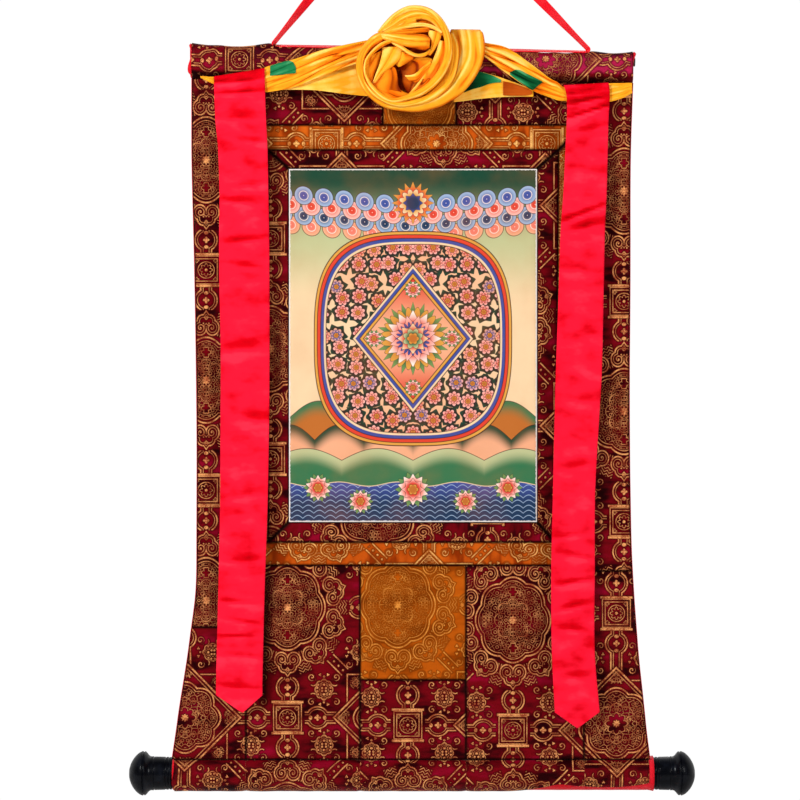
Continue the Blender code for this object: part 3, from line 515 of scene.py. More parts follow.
ROLLER_DROP, ROLLER_DEPTH = 1067.6, 12.2
ROLLER_LEFT, ROLLER_RIGHT = -284.6, 282.4
TUBE_RADIUS, TUBE_WALL, TUBE_SIDES, TUBE_STEPS = 19.2, 0.9, 64, 90
KNOB_NECK_RADIUS, TUBE_START, TUBE_FLARE, TUBE_FLARE_RUN = 20.4, 0.8, 1.8, 3.0
TUBE_GIRTH, TUBE_UNEVEN, TUBE_LUMP, WRAP_UNEVEN, WRAP_LUMP = 113.0, 0.25, 15.0, 0.35, 17.0
WRAP_RADIUS, WRAP_WALL, WRAP_SHORT_OF_KNOB, WRAP_BACK_ANGLE = 20.6, 1.1, 4.4, 262.0
WRAP_BULGE, WRAP_BULGE_ANGLE, WRAP_BULGE_SPREAD, WRAP_BULGE_RINGS = 2.6, 62.0, 26.0, 1.5
WRAP_STEP, WRAP_COLUMNS = 4.6, 60
# Where the brocade wrap ends below the roller: X, degrees round from the lowest point towards the front
WRAP_EDGE_ROWS = (
    (-284, 12), (-262, 18), (-235, -4), (20, -8), (90, 4), (125, 24), (150, 44), (172, 60), (196, 52),
    (236, 48), (262, 56), (279, 66),
)
# The wrap goes on from the panels above it: X from which, place of a star's middle
WRAP_STARS = (
    (-290.0, (-269, 1000)), (FRAME_LEFT, (-28, 1000)), (DOOR_LEFT, (114, 1009)),
    (DOOR_RIGHT, (-2, 1015)), (FRAME_RIGHT, (240, 1007)),
)
WRAP_SEAM_HALF, WRAP_SEAM_DIP, WRAP_CREASE_SHADE = 0.25, 0.5, 8.0
# Turned knob: distance from its inner end, radius
KNOB_NECK_PROFILE = (
    (0, 18.4), (0.6, 19.1), (2.6, 19.1), (3.4, 18.2), (4.4, 19.3), (6.6, 19.3), (7.4, 18.3), (8.4, 19.4),
    (20.4, 19.7), (21.2, 19), (22.2, 20.1), (24.6, 19.8), (26.4, 20.4), (28, 21.6), (29.8, 23.9),
    (31.4, 25.6), (32.6, 25.9), (33.6, 24.7), (34.6, 26.1), (35.6, 26),
)
KNOB_DOME_FROM, KNOB_LENGTH, KNOB_RIM, KNOB_SIDES = 36.4, 51.4, 25.6, 96
KNOB_DOME_POWER, KNOB_DOME_STEPS, KNOB_DOME_SPACING, KNOB_CLEAR = 1.35, 20, 0.8, 0.3
KNOB_EDGE, KNOB_EDGE_STEPS, KNOB_EDGE_ANGLE = 0.28, 2, 24


def roller_place(x, radius, angle):
    """X, depth and drop round the roller: angle 0 is its lowest line, 90 degrees its foremost."""
    turn = math.radians(angle)
    return x, ROLLER_DEPTH - radius * math.sin(turn), ROLLER_DROP + radius * math.cos(turn)


def build_roller():
    """The lining's tube, flared over the right knob's neck, under the wrap, and a knob at each end."""
    grid = []
    for x in shares(ROLLER_LEFT + TUBE_START, ROLLER_RIGHT + TUBE_FLARE, TUBE_STEPS):
        flare = smooth((x - ROLLER_RIGHT + TUBE_FLARE_RUN) / TUBE_FLARE_RUN)
        ring = []
        for turn in shares(0.0, 1.0, TUBE_SIDES)[:-1]:
            uneven = TUBE_UNEVEN * wobble(x / TUBE_LUMP, 3.0 * math.cos(2.0 * math.pi * turn), 9.0)
            radius = mix(TUBE_RADIUS, KNOB_NECK_RADIUS, flare) + uneven
            ring.append((*roller_place(x, radius, 360.0 * turn), TUBE_GIRTH * turn, x))
        grid.append(ring)
    cloth_piece("roller_lining", "lining_red", grid, TUBE_WALL, ring=True)
    build_wrap()
    build_knob("knob_left", ROLLER_LEFT - KNOB_CLEAR, -1.0)
    build_knob("knob_right", ROLLER_RIGHT + KNOB_CLEAR, 1.0)


def wrap_stations():
    """X of each ring of the wrap with the star it goes by: two rings stand close together at each seam."""
    left, right = ROLLER_LEFT + WRAP_BULGE + KNOB_CLEAR, ROLLER_RIGHT - WRAP_SHORT_OF_KNOB
    starts = [left, *(x for x, _ in WRAP_STARS[1:])]
    ends = [*starts[1:], right]
    stations = []
    for start, end, (_, star) in zip(starts, ends, WRAP_STARS):
        low = start + (WRAP_SEAM_HALF if start > left else 0.0)
        high = end - (WRAP_SEAM_HALF if end < right else 0.0)
        steps = round((high - low) / WRAP_STEP)
        for i, x in enumerate(shares(low, high, steps)):
            at_seam = (i == 0 and start > left) or (i == steps and end < right)
            stations.append((x, star, at_seam))
    return stations


def build_wrap():
    """Brocade round the roller's front, from behind its top to an edge that comes forward at the right."""
    crease_angle = 180.0 - math.degrees(math.acos((ROLLER_DROP - CREASE) / WRAP_RADIUS))
    grid = []
    for step, (x, star, at_seam) in enumerate(wrap_stations()):
        start = read_rows(WRAP_EDGE_ROWS, x)[0]
        row = []
        for angle in shares(start, WRAP_BACK_ANGLE, WRAP_COLUMNS):
            bulge = WRAP_BULGE * bell(angle - WRAP_BULGE_ANGLE, WRAP_BULGE_SPREAD)
            uneven = WRAP_UNEVEN * wobble(x / WRAP_LUMP, angle / 30.0, 5.0)
            out = uneven - (WRAP_SEAM_DIP if at_seam else 0.0)
            along = CREASE - star[1] + math.radians(crease_angle - angle) * WRAP_RADIUS
            near = bulge * math.exp(-step / WRAP_BULGE_RINGS)
            # Painted shade along the crease above the roller
            shade = SEAM_SHADE * bell(angle - crease_angle, WRAP_CREASE_SHADE)
            row.append((*roller_place(x - near, WRAP_RADIUS + out, angle), x - star[0], along, shade))
        grid.append(row)
    cloth_piece("roller_wrap", "brocade_maroon", grid, WRAP_WALL)


def knob_profile():
    """Distance along the knob and radius, from its flat inner end over rings and rim to the dome's tip."""
    dome = []
    for step in range(1, KNOB_DOME_STEPS):
        share = (step / KNOB_DOME_STEPS) ** KNOB_DOME_SPACING
        along = mix(KNOB_DOME_FROM, KNOB_LENGTH, share)
        dome.append((along, KNOB_RIM * math.sqrt(1.0 - share**KNOB_DOME_POWER)))
    return (*KNOB_NECK_PROFILE, (KNOB_DOME_FROM, KNOB_RIM), *dome)


def build_knob(name, inner_end, way):
    """Turned knob: its profile spun about the roller's axis, with its edges eased."""
    profile = knob_profile()
    places = []
    for along, radius in profile:
        for side in range(KNOB_SIDES):
            places.append(point(*roller_place(inner_end + way * along, radius, 360.0 * side / KNOB_SIDES)))
    faces = grid_faces(len(profile), KNOB_SIDES, ring=True)
    for along, first in ((0.0, 0), (KNOB_LENGTH, len(places) - KNOB_SIDES)):
        centre = len(places)
        for side in range(KNOB_SIDES):
            faces.append((first + side, first + (side + 1) % KNOB_SIDES, centre))
        places.append(point(inner_end + way * along, ROLLER_DEPTH, ROLLER_DROP))
    mesh = new_mesh(f"{name}_turned", places, faces)
    turn_outward(mesh)
    eased = new_piece(mesh, "knob_lacquer", name).modifiers.new("Eased", "BEVEL")
    eased.width, eased.segments = KNOB_EDGE * MM, KNOB_EDGE_STEPS
    eased.limit_method, eased.angle_limit = "ANGLE", math.radians(KNOB_EDGE_ANGLE)


# Streamers

# Streamers: drop, X of the left edge, X of the right edge, how far the front stands before the hanging
LEFT_STREAMER_ROWS = (
    (240.7, -233.9, -174.1, 16.6), (264, -233.4, -173.6, 16.4), (294, -232.5, -172.6, 14.6),
    (330, -229.3, -170.9, 13.5), (386, -227.4, -169.6, 14.5), (424, -227.9, -168.9, 13.8),
    (472, -228, -168.6, 12.4), (560, -226.2, -168.4, 14), (650, -226.5, -169, 12),
    (755, -226.9, -170.9, 14), (850, -229, -174.2, 12.4), (956, -231.6, -176.8, 13.2),
    (972.3, -231.7, -176.8, 13),
)
LEFT_STREAMER_TIP, LEFT_TOP_SLANT = (-200.7, 993.2), -9.9
RIGHT_STREAMER_ROWS = (
    (254.4, 176.8, 229.3, 16.9), (266, 179.9, 231.1, 16.7), (294, 180.4, 229.8, 15.2),
    (330, 178.9, 229, 13.2), (386, 176.1, 227.4, 14.8), (424, 173.2, 225.6, 14.6), (495, 171, 224.2, 12.6),
    (590, 167.6, 222, 14.4), (640, 166.4, 219.4, 12.2), (731, 164.2, 214.2, 14.2), (826, 162.2, 213.8, 12),
    (920, 162.8, 213.6, 13.8), (992.4, 166.4, 219.5, 12.6),
)
RIGHT_STREAMER_TIP, RIGHT_TOP_SLANT = (193.5, 1011.3), -3.0
STREAMER_STEP, STREAMER_COLUMNS, STREAMER_SLANT_RUN, STREAMER_TIP_STEPS = 3.2, 18, 40.0, 8
STREAMER_CURL, STREAMER_CURL_LENGTH, STREAMER_LIFT = 1.6, 61.0, 3.2
STREAMER_UNEVEN, STREAMER_LUMP = 0.35, 24.0
CREASE_SHADE, TOP_SHADE, STREAMER_TONE, CREASES_GROW, CREASE_ENDS = 0.6, 0.34, 0.12, 14.0, 3.5
# Creases across a streamer: drop of the crease at its middle, how far it rises to the right, half width,
# depth, share of the way across where it is deepest, half reach across
LEFT_CREASES = (
    (250, 4, 2.2, 0.8, 0.4, 0.72), (263, 3, 3, 1.1, 0.5, 0.56), (291, 0, 4.5, 0.5, 0.4, 0.4),
    (318, -6, 3.5, 0.6, 0.7, 0.32), (372, 8, 4.5, 0.7, 0.6, 0.4), (391, -6, 3.5, 0.7, 0.3, 0.32),
    (436, 6, 3.5, 0.7, 0.5, 0.4), (466, -8, 4, 0.7, 0.6, 0.4), (560, 6, 8, 0.7, 0.4, 0.48),
    (640, -8, 7, 0.7, 0.6, 0.48), (735, 6, 5, 0.7, 0.5, 0.4), (812, 5, 4, 0.7, 0.6, 0.4),
    (862, -4, 3.5, 0.9, 0.4, 0.4), (884, -8, 3, 0.7, 0.6, 0.32), (902, 3, 2.5, 1, 0.4, 0.4),
    (924, -5, 3.5, 0.6, 0.6, 0.4), (962, -4, 3, 0.6, 0.5, 0.4),
)
RIGHT_CREASES = (
    (262, 6, 2.2, 0.8, 0.3, 0.4), (272, 10, 2.5, 1.2, 0.4, 0.56), (286, 16, 2.5, 1.4, 0.5, 0.64),
    (305, 10, 4, 0.6, 0.6, 0.48), (352, -6, 4.5, 0.5, 0.4, 0.4), (404, 20, 3.5, 1.2, 0.5, 0.64),
    (420, 12, 4, 0.8, 0.6, 0.4), (470, -6, 6, 0.6, 0.5, 0.4), (548, 8, 7, 0.6, 0.5, 0.48),
    (622, -6, 6, 0.6, 0.4, 0.4), (700, 8, 6, 0.6, 0.6, 0.4), (782, 6, 4, 0.8, 0.4, 0.4),
    (806, -8, 4, 0.8, 0.6, 0.4), (838, 8, 3.5, 1, 0.5, 0.48), (866, 12, 4, 0.9, 0.5, 0.4),
    (893, -4, 3.5, 0.7, 0.5, 0.4), (948, 5, 4.5, 0.6, 0.5, 0.4),
)
# Streamers: rows, tip, how far the top slants, creases, 1 where the right edge stands further out than the
# left one and -1 where the left edge does, how far down from the top the painted shade reaches
STREAMERS = {
    "streamer_left": (LEFT_STREAMER_ROWS, LEFT_STREAMER_TIP, LEFT_TOP_SLANT, LEFT_CREASES, 1, 10.0),
    "streamer_right": (RIGHT_STREAMER_ROWS, RIGHT_STREAMER_TIP, RIGHT_TOP_SLANT, RIGHT_CREASES, -1, 22.0),
}


def crease_depth(creases, drop, share):
    """How far the creases press the satin back at one place, with a soft ridge under each."""
    found = 0.0
    for at, rise, half, deep, middle, reach in creases:
        off = (drop - at + rise * (share - 0.5)) / half
        if abs(off) < CREASE_ENDS:
            found += deep * bell(share - middle, reach) * (bell(off, 1.0) - 0.6 * bell(off - 1.5, 1.0))
    return found


def build_streamer(name, rows, tip, top_slant, creases, lifted, shaded):
    """Satin band that hangs in front, with a slanted top and a pointed end."""
    first, last = rows[0][0], rows[-1][0]
    steps = round((last - first) / STREAMER_STEP)
    lines = [(drop, read_rows(rows, drop), 0.0) for drop in shares(first, last, steps)]
    lines += [(last, rows[-1][1:], down) for down in shares(0.0, 0.97, STREAMER_TIP_STEPS)[1:]]
    grid = []
    for drop, (left, right, front), down in lines:
        left, right = mix(left, tip[0], down), mix(right, tip[0], down)
        drop = mix(drop, tip[1], down)
        slant = top_slant * smooth(1.0 - (drop - first) / STREAMER_SLANT_RUN)
        curl = STREAMER_CURL * math.sin(drop / STREAMER_CURL_LENGTH) * (1.0 - down)
        row = []
        for share in shares(0.0, 1.0, STREAMER_COLUMNS):
            at = drop + slant * (share - 0.5)
            pressed = crease_depth(creases, at, share) * smooth((at - first) / CREASES_GROW + 0.3)
            uneven = STREAMER_UNEVEN * wobble(share * 2.0, at / STREAMER_LUMP, first)
            lift = STREAMER_LIFT * lifted * (share - 0.5) * smooth((at - first) / STREAMER_SLANT_RUN)
            depth = -front - lift - curl * math.sin(math.pi * share) + pressed + uneven
            x = mix(left, right, share)
            top_shade = TOP_SHADE * smooth(1.5 - (at - first - slant * (share - 0.5)) / shaded)
            # Painted shade in the creases and along the top, painted highlight on the soft ridge under each
            # crease, over a little deeper base tone
            row.append((x, depth, at, x, at, CREASE_SHADE * pressed + top_shade + STREAMER_TONE))
        grid.append(row)
    cloth_piece(name, "satin_red", grid)


# Veil

# Veil folds: X, drop of the upper edge, drop of the lower edge, how far it stands in front, pleat depth
VEIL_LEFT_UPPER_ROWS = (
    (-250.8, 243.4, 244.8, 12.4, 0.1), (-234.8, 244.2, 252.5, 12.4, 0.3), (-204, 241.4, 257.2, 12.5, 0.4),
    (-180, 236.6, 261, 12.9, 0.5), (-172, 232, 262.2, 13.1, 0.5), (-139, 223, 255.6, 15, 0.9),
    (-107, 212.6, 242.6, 16.6, 1.4), (-62, 202.6, 226.5, 18.8, 1.6), (-42, 199, 222, 20, 1.2),
)
VEIL_LEFT_LOWER_ROWS = (
    (-158, 250, 259.2, 12, 0.1), (-117, 240, 259.8, 12.2, 0.2), (-80, 226, 264.3, 12.7, 0.3),
    (-56, 222, 266.7, 12.9, 0.3), (-36, 221, 268, 12.9, 0.2),
)
VEIL_RIGHT_UPPER_ROWS = (
    (84, 203.6, 219.6, 20.1, 1.4), (111, 210, 240.2, 17, 1.4), (142, 231, 260.6, 15.2, 1.2),
    (162, 246.2, 268.4, 13.8, 0.9), (170, 250, 271.4, 13.2, 0.7), (176, 255, 272.4, 12.8, 0.6),
    (182, 257, 272.8, 12.6, 0.5), (212, 254.6, 273.4, 12.4, 0.5), (230, 252, 273.6, 12.2, 0.5),
    (246, 251.4, 269.6, 12.2, 0.4), (258.6, 251.3, 263.1, 12.2, 0.3),
)
VEIL_RIGHT_LOWER_ROWS = (
    (48, 246, 274, 12, 0.1), (64, 238, 272.2, 12, 0.1), (79, 238, 270.2, 12, 0.2),
    (107, 246, 267.9, 11.8, 0.2), (142, 259, 267.4, 11.6, 0.1),
)
# Veil folds: rows, number of pleats, how far the middle stands forward, how deep the painted shade is, steps
# along and down
VEIL_FOLDS = {
    "left_upper": (VEIL_LEFT_UPPER_ROWS, 3.0, 1.2, 0.1, 120, 70),
    "left_lower": (VEIL_LEFT_LOWER_ROWS, 1.0, 0.2, -0.08, 70, 30),
    "right_upper": (VEIL_RIGHT_UPPER_ROWS, 3.0, 1.2, 0.02, 110, 70),
    "right_lower": (VEIL_RIGHT_LOWER_ROWS, 1.0, 0.2, -0.04, 70, 30),
}
PLEAT_DRIFT, PATCH_CLEAR = 0.01, 0.7
# How narrow a fold's creases are, how deep in parts of its pleats, how much finer unevenness and softer swells
# they have, and how much painted shade or painted highlight each of them puts in the colour
CREASE_NARROW, CREASE_DEEP, FINE_UNEVEN, SOFT_SWELL = 0.075, 0.9, 0.25, 0.7
FOLD_CREASE_SHADE, FOLD_WAVE_SHADE, FOLD_SWELL_LIGHT, SHADED_PLEAT = 0.42, 0.16, 0.5, 1.3
# Patches on the veil, each with the fold it lies on, its slot, how deep the painted shade is at its left and
# right end, and rows: X, share of the way down the fold where it starts and where it ends
PATCHES = {
    "veil_patch_left_green": ("left_upper", "satin_green", 0.15, 0, (
        (-168.6, 0.01, 0.38), (-158, 0, 0.43), (-147, 0, 0.47), (-141.5, 0.1, 0.5), (-138.2, 0.3, 0.52),
    )),
    "veil_patch_right_green": ("right_upper", "satin_green", 0.1, 0, (
        (114.6, 0.86, 0.96), (123.5, 0.58, 0.98), (133, 0.5, 0.98), (141.4, 0.45, 0.97), (147, 0.42, 0.72),
        (152.6, 0.4, 0.45),
    )),
    "veil_patch_inner_green": ("right_lower", "satin_green", 0.95, -0.1, (
        (60, 0, 0.7), (72, 0, 0.62), (80, 0, 0.56), (94, 0.03, 0.36), (104, 0.1, 0.24),
    )),
    "veil_patch_right_orange": ("right_lower", "satin_orange", 0.3, 0, (
        (106.4, 0.16, 0.9), (114, 0.12, 0.93), (126, 0.1, 0.92), (136, 0.14, 0.84), (140.6, 0.3, 0.66),
    )),
}
PATCH_STEPS_ALONG, PATCH_STEPS_DOWN = 36, 20


def fold_place(rows, pleats, belly, tone, x, down, forward):
    """X, depth, drop and cloth place on a veil fold at one X and share of the way down, with its creases."""
    top, bottom, front, pleat = read_rows(rows, x)
    wave = math.cos(2.0 * math.pi * pleats * down + PLEAT_DRIFT * x)
    crossing = wobble(0.012 * x, 5.0 * down + 0.02 * x, rows[0][0])
    crease = bell(crossing, CREASE_NARROW)
    uneven = FINE_UNEVEN * wobble(x / 9.0, 9.0 * down, 2.0)
    fine = CREASE_DEEP * crease + uneven - SOFT_SWELL * abs(crossing)
    stands = front + belly * math.sin(math.pi * down) - pleat * (fine - wave) + forward
    # Painted shade in the creases and waves, painted highlight on the swells
    folded = FOLD_CREASE_SHADE * crease + FOLD_WAVE_SHADE * (1.0 - wave) - FOLD_SWELL_LIGHT * abs(crossing)
    shade = tone + min(pleat, SHADED_PLEAT) * folded
    drop = mix(top, bottom, down)
    return (*seen_place(x, stands, drop), drop, x, clamp(shade, LIGHTEST, DEEPEST))


def build_veil():
    """The veil's gathered folds each side of the rosette, and the patches sewn on them."""
    for name, (rows, *fold, steps_along, steps_down) in VEIL_FOLDS.items():
        grid = []
        for x in shares(rows[0][0], rows[-1][0], steps_along):
            grid.append([fold_place(rows, *fold, x, down, 0.0) for down in shares(0.0, 1.0, steps_down)])
        cloth_piece(f"veil_{name}", "satin_yellow", grid)
    for name, (fold_name, slot, tone_left, tone_right, outline) in PATCHES.items():
        rows, pleats, belly, *_ = VEIL_FOLDS[fold_name]
        grid = []
        for along in shares(0.0, 1.0, PATCH_STEPS_ALONG):
            x = mix(outline[0][0], outline[-1][0], along)
            top, bottom = read_rows(outline, x)
            tone = mix(tone_left, tone_right, smooth(along))
            row = []
            for down in shares(0.0, 1.0, PATCH_STEPS_DOWN):
                at = mix(top, bottom, down)
                row.append(fold_place(rows, pleats, belly, tone, x, at, SATIN + PATCH_CLEAR))
            grid.append(row)
        cloth_piece(name, slot, grid)


# Rosette: the wound cloth's strands, each with how deep its painted shade is at its start and its end, the
# width of its folds and its rows: place from the rosette's middle, height, how far in front of the hanging,
# half width, half thickness
ROSETTE_X, ROSETTE_DROP = 8.3, 226.6
STRANDS = {
    "back": (1, 1, 16, (
        (-60, -4, 20, 14, 5), (-44, -2, 18.3, 28, 6), (-18, 2, 18.3, 36, 6), (8, 6, 18.3, 40, 6),
        (30, 4, 18.3, 32, 6), (50, 6, 20, 14, 6),
    )),
    "outer": (0.06, 0.14, 11.5, (
        (54, 38.4, 19, 17, 1.6), (54, 35, 21, 19, 4), (54.6, 28, 24, 21, 6), (54.6, 16, 26, 22, 6),
        (53, 2, 28, 20.4, 7), (45, -17.4, 30, 17, 7), (31, -35, 32, 13, 7), (4, -49, 33, 9, 6),
        (-21, -51, 34, 7, 6), (-43, -46, 34, 6.5, 6), (-62, -30, 34, 6, 6), (-71, -10, 35, 4.5, 6),
        (-69, 7, 36, 4.6, 6), (-60, 20, 37, 5.4, 6), (-50, 28, 39, 6, 5), (-40, 32, 40, 4.4, 3),
    )),
    "middle": (0.1, 0.1, 8, (
        (35, 33, 33, 5, 4), (40, 19, 36, 6, 5), (40, 1, 38, 6, 5), (35, -18, 39, 6, 5), (24, -32, 39, 6, 5),
        (9, -43, 39, 5, 5), (-7, -48, 39, 4.2, 5), (-25, -50, 39, 3.4, 5), (-42, -45.5, 39, 3, 5),
        (-57, -35, 39, 2.6, 5), (-66, -22, 39, 2.2, 5), (-68.6, -9, 40, 2.2, 5), (-67.4, 4, 40, 2.2, 5),
        (-61, 16, 41, 2.6, 5), (-51, 26, 41, 3.6, 5), (-40, 32, 41, 4, 4),
    )),
    "inner": (0, 0, 8.4, (
        (-48, 34, 34, 3, 3), (-39, 44, 34, 4, 5), (-28, 54.5, 35, 4.2, 6), (-15, 61.6, 36, 4.2, 6),
        (-3, 62.8, 37, 4.2, 6), (10, 59.6, 38, 4.2, 6), (20.6, 51.4, 40, 4.2, 6), (28.6, 39.6, 42, 4.2, 6),
        (33, 26, 44, 4.4, 6), (33.6, 12, 45, 4.6, 6), (30.6, -2, 46, 4.8, 6), (23.4, -15.6, 46, 4.8, 6),
        (13, -27.4, 45, 4.6, 6), (1, -35.6, 44, 4.2, 5), (-14, -41.6, 43, 3.4, 5), (-28, -45.4, 42, 2.8, 4),
        (-37, -44.6, 42, 2.4, 4), (-48, -38, 42, 2.8, 4), (-58, -27.6, 42, 2.6, 4), (-64, -16, 42, 2, 4),
        (-65.4, -6, 42, 1.8, 4), (-62, 4, 42, 2, 4), (-54.6, 13, 42, 2.4, 4), (-44, 21, 43, 2.6, 4),
        (-33, 25.4, 43, 2.2, 3.5),
    )),
    "lobe_outer": (0.2, 0, 7, (
        (-43, 35, 35, 3.4, 3), (-31, 43, 36, 5.6, 4), (-20, 50.5, 37, 6.6, 4), (-9, 54.4, 38, 6, 4),
        (2, 54.6, 39, 4.6, 4), (13, 50.6, 40, 3.6, 4), (23, 41, 41, 2.6, 3), (27.6, 32, 41, 2, 3),
    )),
    "lobe_rib": (0, -0.1, 6, (
        (-43, 33, 40, 2.4, 3), (-30, 38.4, 42, 3.2, 3.5), (-12, 42.6, 43, 3.2, 3.5),
        (4, 43.6, 43, 2.7, 3.5), (16, 40.6, 43, 2.4, 3), (26, 34.4, 43, 1.8, 3),
    )),
    "bundle_upper": (0.25, 0.5, 4.4, (
        (-42, 32, 41, 2, 2), (-24, 34.6, 43, 3.6, 3.5), (-8, 36.4, 44, 3.4, 3.5), (8, 38, 43, 2.8, 3),
        (12, 38, 42, 1, 1),
    )),
    "bundle": (0, 0.35, 7, (
        (-46, 30.6, 42, 3, 3), (-32, 28.6, 44, 5.6, 5), (-18, 26.4, 45, 7.6, 6), (-5, 24.4, 46, 9, 7),
        (5, 23, 46, 9.2, 7), (9, 22.6, 45, 8, 6), (11.6, 22.4, 43, 5.6, 3),
    )),
    "bundle_lower": (-0.1, 0.1, 4.4, (
        (-36, 25.4, 42, 1.6, 2), (-24, 18.6, 43, 2.4, 3), (-12, 10.6, 42, 2.4, 3), (-3, 7.6, 42, 2.2, 3),
        (6, 9, 42, 2.2, 3), (11.6, 14.6, 41, 1.2, 2),
    )),
}
# Its broad facets, each with how deep the painted shade is on its left and its right side, dark in the hollows
# and the gap between the lobes, and its rows from end to end: place, height and how far forward, of the left
# edge and of the right edge
FACETS = {
    "left_upper": (-0.04, 0.2, (
        (-45, 17.5, 39, -20.5, 18.5, 38), (-44.6, 11, 40, -22, 9, 39), (-46.6, 2, 40, -25.8, 1, 40),
        (-49, -6, 40, -35.4, -7.6, 39.6), (-52.4, -14.8, 39, -43.6, -13.8, 39),
        (-56, -25.4, 37, -51.6, -24.4, 36),
    )),
    "left_lower": (0.18, 0.5, (
        (-51, -12, 38, -36, -5, 37), (-52.6, -17, 38, -29.4, -7, 37.6), (-53.6, -23, 37, -26.6, -17, 36),
        (-54.6, -30, 36, -25.4, -28, 35), (-50, -38, 34, -20, -39, 33),
    )),
    "left_facet": (0, 0.6, (
        (-61, 6.4, 38.6, -44.6, 14, 37), (-65.8, -3.6, 38.6, -47.4, 3, 35.6),
        (-66.6, -12.6, 38.6, -49.6, -6, 35.6), (-64.6, -20.6, 38, -53.6, -16, 35.6),
        (-59, -28.6, 37, -54, -26, 35),
    )),
    "floor": (0.3, 0.5, (
        (-58, -28, 34, -54, -22, 34), (-47, -38.4, 35, -43, -27, 34), (-36, -45.6, 35, -30, -29.6, 33),
        (-24, -46.6, 34, -18.6, -35.6, 31), (-8, -42.6, 33, -10, -38.6, 30),
    )),
    "hollow_left": (0.95, 0.3, (
        (-27.6, -1.4, 28, -2.8, 5.4, 35), (-24, -8, 28, 13, 4.4, 36), (-22, -16, 28, 14.8, -3.6, 36),
        (-20.8, -24, 28, 8.6, -16, 35), (-16.4, -33, 28, -1.6, -27.4, 34), (-12, -40, 29, -6.6, -35.6, 32),
    )),
    "hollow_ridge": (-0.1, 0.5, (
        (12, 1.6, 38, 15.6, -6, 36), (2, -7, 37, 7, -15, 35), (-7, -14.4, 35, -2, -23, 34),
        (-18, -16, 33, -11, -24, 32),
    )),
    "right_inner": (-0.06, 0.42, (
        (22.6, 26, 40, 30.4, 24, 42), (20, 14.6, 39, 30, 12, 42), (15.6, 3, 38, 28.6, 1, 42),
        (10.4, -8, 37, 25.2, -10.6, 42), (1.6, -19.6, 36, 18.4, -22, 41), (-6.4, -29.6, 35, 9, -31, 40),
        (-14.4, -38.6, 34, -2, -39, 38),
    )),
    "right_inner_fold": (0.7, 0.3, (
        (3.6, -20, 39, 13.4, -19, 40.4), (-1, -27, 38.4, 10.6, -27, 40.2), (-6, -34, 38, 3, -34.6, 39.4),
    )),
    "hollow_small": (0.08, 0.6, (
        (-22, 12.6, 38, -16, 10.4, 37), (-27, 3.4, 38, -7.4, 5.6, 38), (-28.6, -2.4, 37, -14, 0, 36),
        (-25.4, -6, 36, -21.8, -4.8, 35),
    )),
    "lobe_inner": (-0.08, 0.28, (
        (-31, 40, 38, -29, 38, 38), (-22, 48.4, 38, -16, 41.4, 39), (-15.6, 55.6, 39, -6.4, 43.6, 39),
        (-6, 57, 39, -4, 46, 38),
    )),
    "lobe_gap": (0.45, 0.8, (
        (-9.6, 54, 36, -5, 44, 35), (1.6, 53.6, 36, 4, 43, 35), (13, 51.6, 36, 13, 41, 35),
        (23.6, 42, 37, 23, 36, 36),
    )),
    "crescent": (0.6, 0.9, (
        (-65, 9, 37, -58.6, 3, 37), (-60.6, 18, 38, -53.6, 10, 37.6), (-52, 26, 39, -45, 17.4, 38.4),
        (-39, 31, 39.6, -34, 23.4, 39),
    )),
    "right_facet": (-0.12, 0.42, (
        (8.6, 38.2, 42, 25.5, 34.8, 41), (10.8, 30.2, 43, 24.4, 28, 41), (13.6, 22.4, 43, 20, 20, 40),
        (12, 14.4, 42, 16.4, 13.4, 39), (9.6, 8.8, 40, 12, 7.6, 38),
    )),
}
STRAND_STEP, STRAND_SIDE, PLEAT_DEEP, PLEAT_WANDER, FOLD_ROUND = 1.8, 0.85, 2.2, 0.55, 2.6
PLEAT_RUN, UNEVEN_RUN, THIN_STRAND, UNEVEN_LEAST, UNEVEN_SWING = 48.0, 26.0, 5.0, 0.6, 0.7
PLEAT_SHADE, RIDGE_LIGHT, RIDGE_AT, RIDGE_WIDE, SIDE_SHADE, MIDDLE_LIGHT = 0.55, 0.2, 0.36, 0.14, 0.5, 0.6
FACET_STEPS, FACET_SWELL, FACET_WAVE, FACET_BROAD, FACET_CREASE = 24, 1.6, 1.3, 14.0, 0.09
FACET_LUMP, FACET_CREASE_DEEP, FACET_CREASE_SHADE, FACET_LIGHT, FACET_TONE = 34.0, 0.6, 0.26, 0.5, 0.1
STRAND_CLOTH_GIRTH = 60.0


def strand_ring(middle, across, wide, thick, run, seed, tone, pleat, sides):
    """Points round one wound strand, an oval with folds along it that wander, join and part, and its cloth
    places, whose third number is how deep the painted shade is there: painted shade in the creases and along
    the sides, painted highlight on the ridges and the middle."""
    ring, woven = [], []
    for side in range(sides):
        angle = 2.0 * math.pi * side / sides
        share = math.cos(angle)
        line = share * wide / pleat + PLEAT_WANDER * wobble(run / PLEAT_RUN, share * 1.3, seed)
        crest = 1.0 - abs(2.0 * (line % 1.0) - 1.0) ** FOLD_ROUND
        uneven = UNEVEN_LEAST + UNEVEN_SWING * wobble(run / UNEVEN_RUN, share * 2.2, seed + 7.0)
        deep = PLEAT_DEEP * uneven * min(1.0, thick / THIN_STRAND) * min(1.0, wide / pleat)
        out = deep * (crest - 0.5) * abs(math.sin(angle)) ** 0.6
        forward = -(thick + out) * math.sin(angle)
        ring.append(middle + (across * (wide + 0.3 * out) * share + Vector((0.0, forward, 0.0))) * MM)
        ridge = bell(line % 1.0 - RIDGE_AT, RIDGE_WIDE) + MIDDLE_LIGHT * (1.0 - abs(share)) ** 2
        shade = tone + PLEAT_SHADE * uneven * (1.0 - crest) ** 1.6 + SIDE_SHADE * abs(share) ** 8
        shade = clamp(shade - RIDGE_LIGHT * ridge, LIGHTEST, DEEPEST)
        woven.append((STRAND_CLOTH_GIRTH * side / sides, run, shade))
    return ring, woven


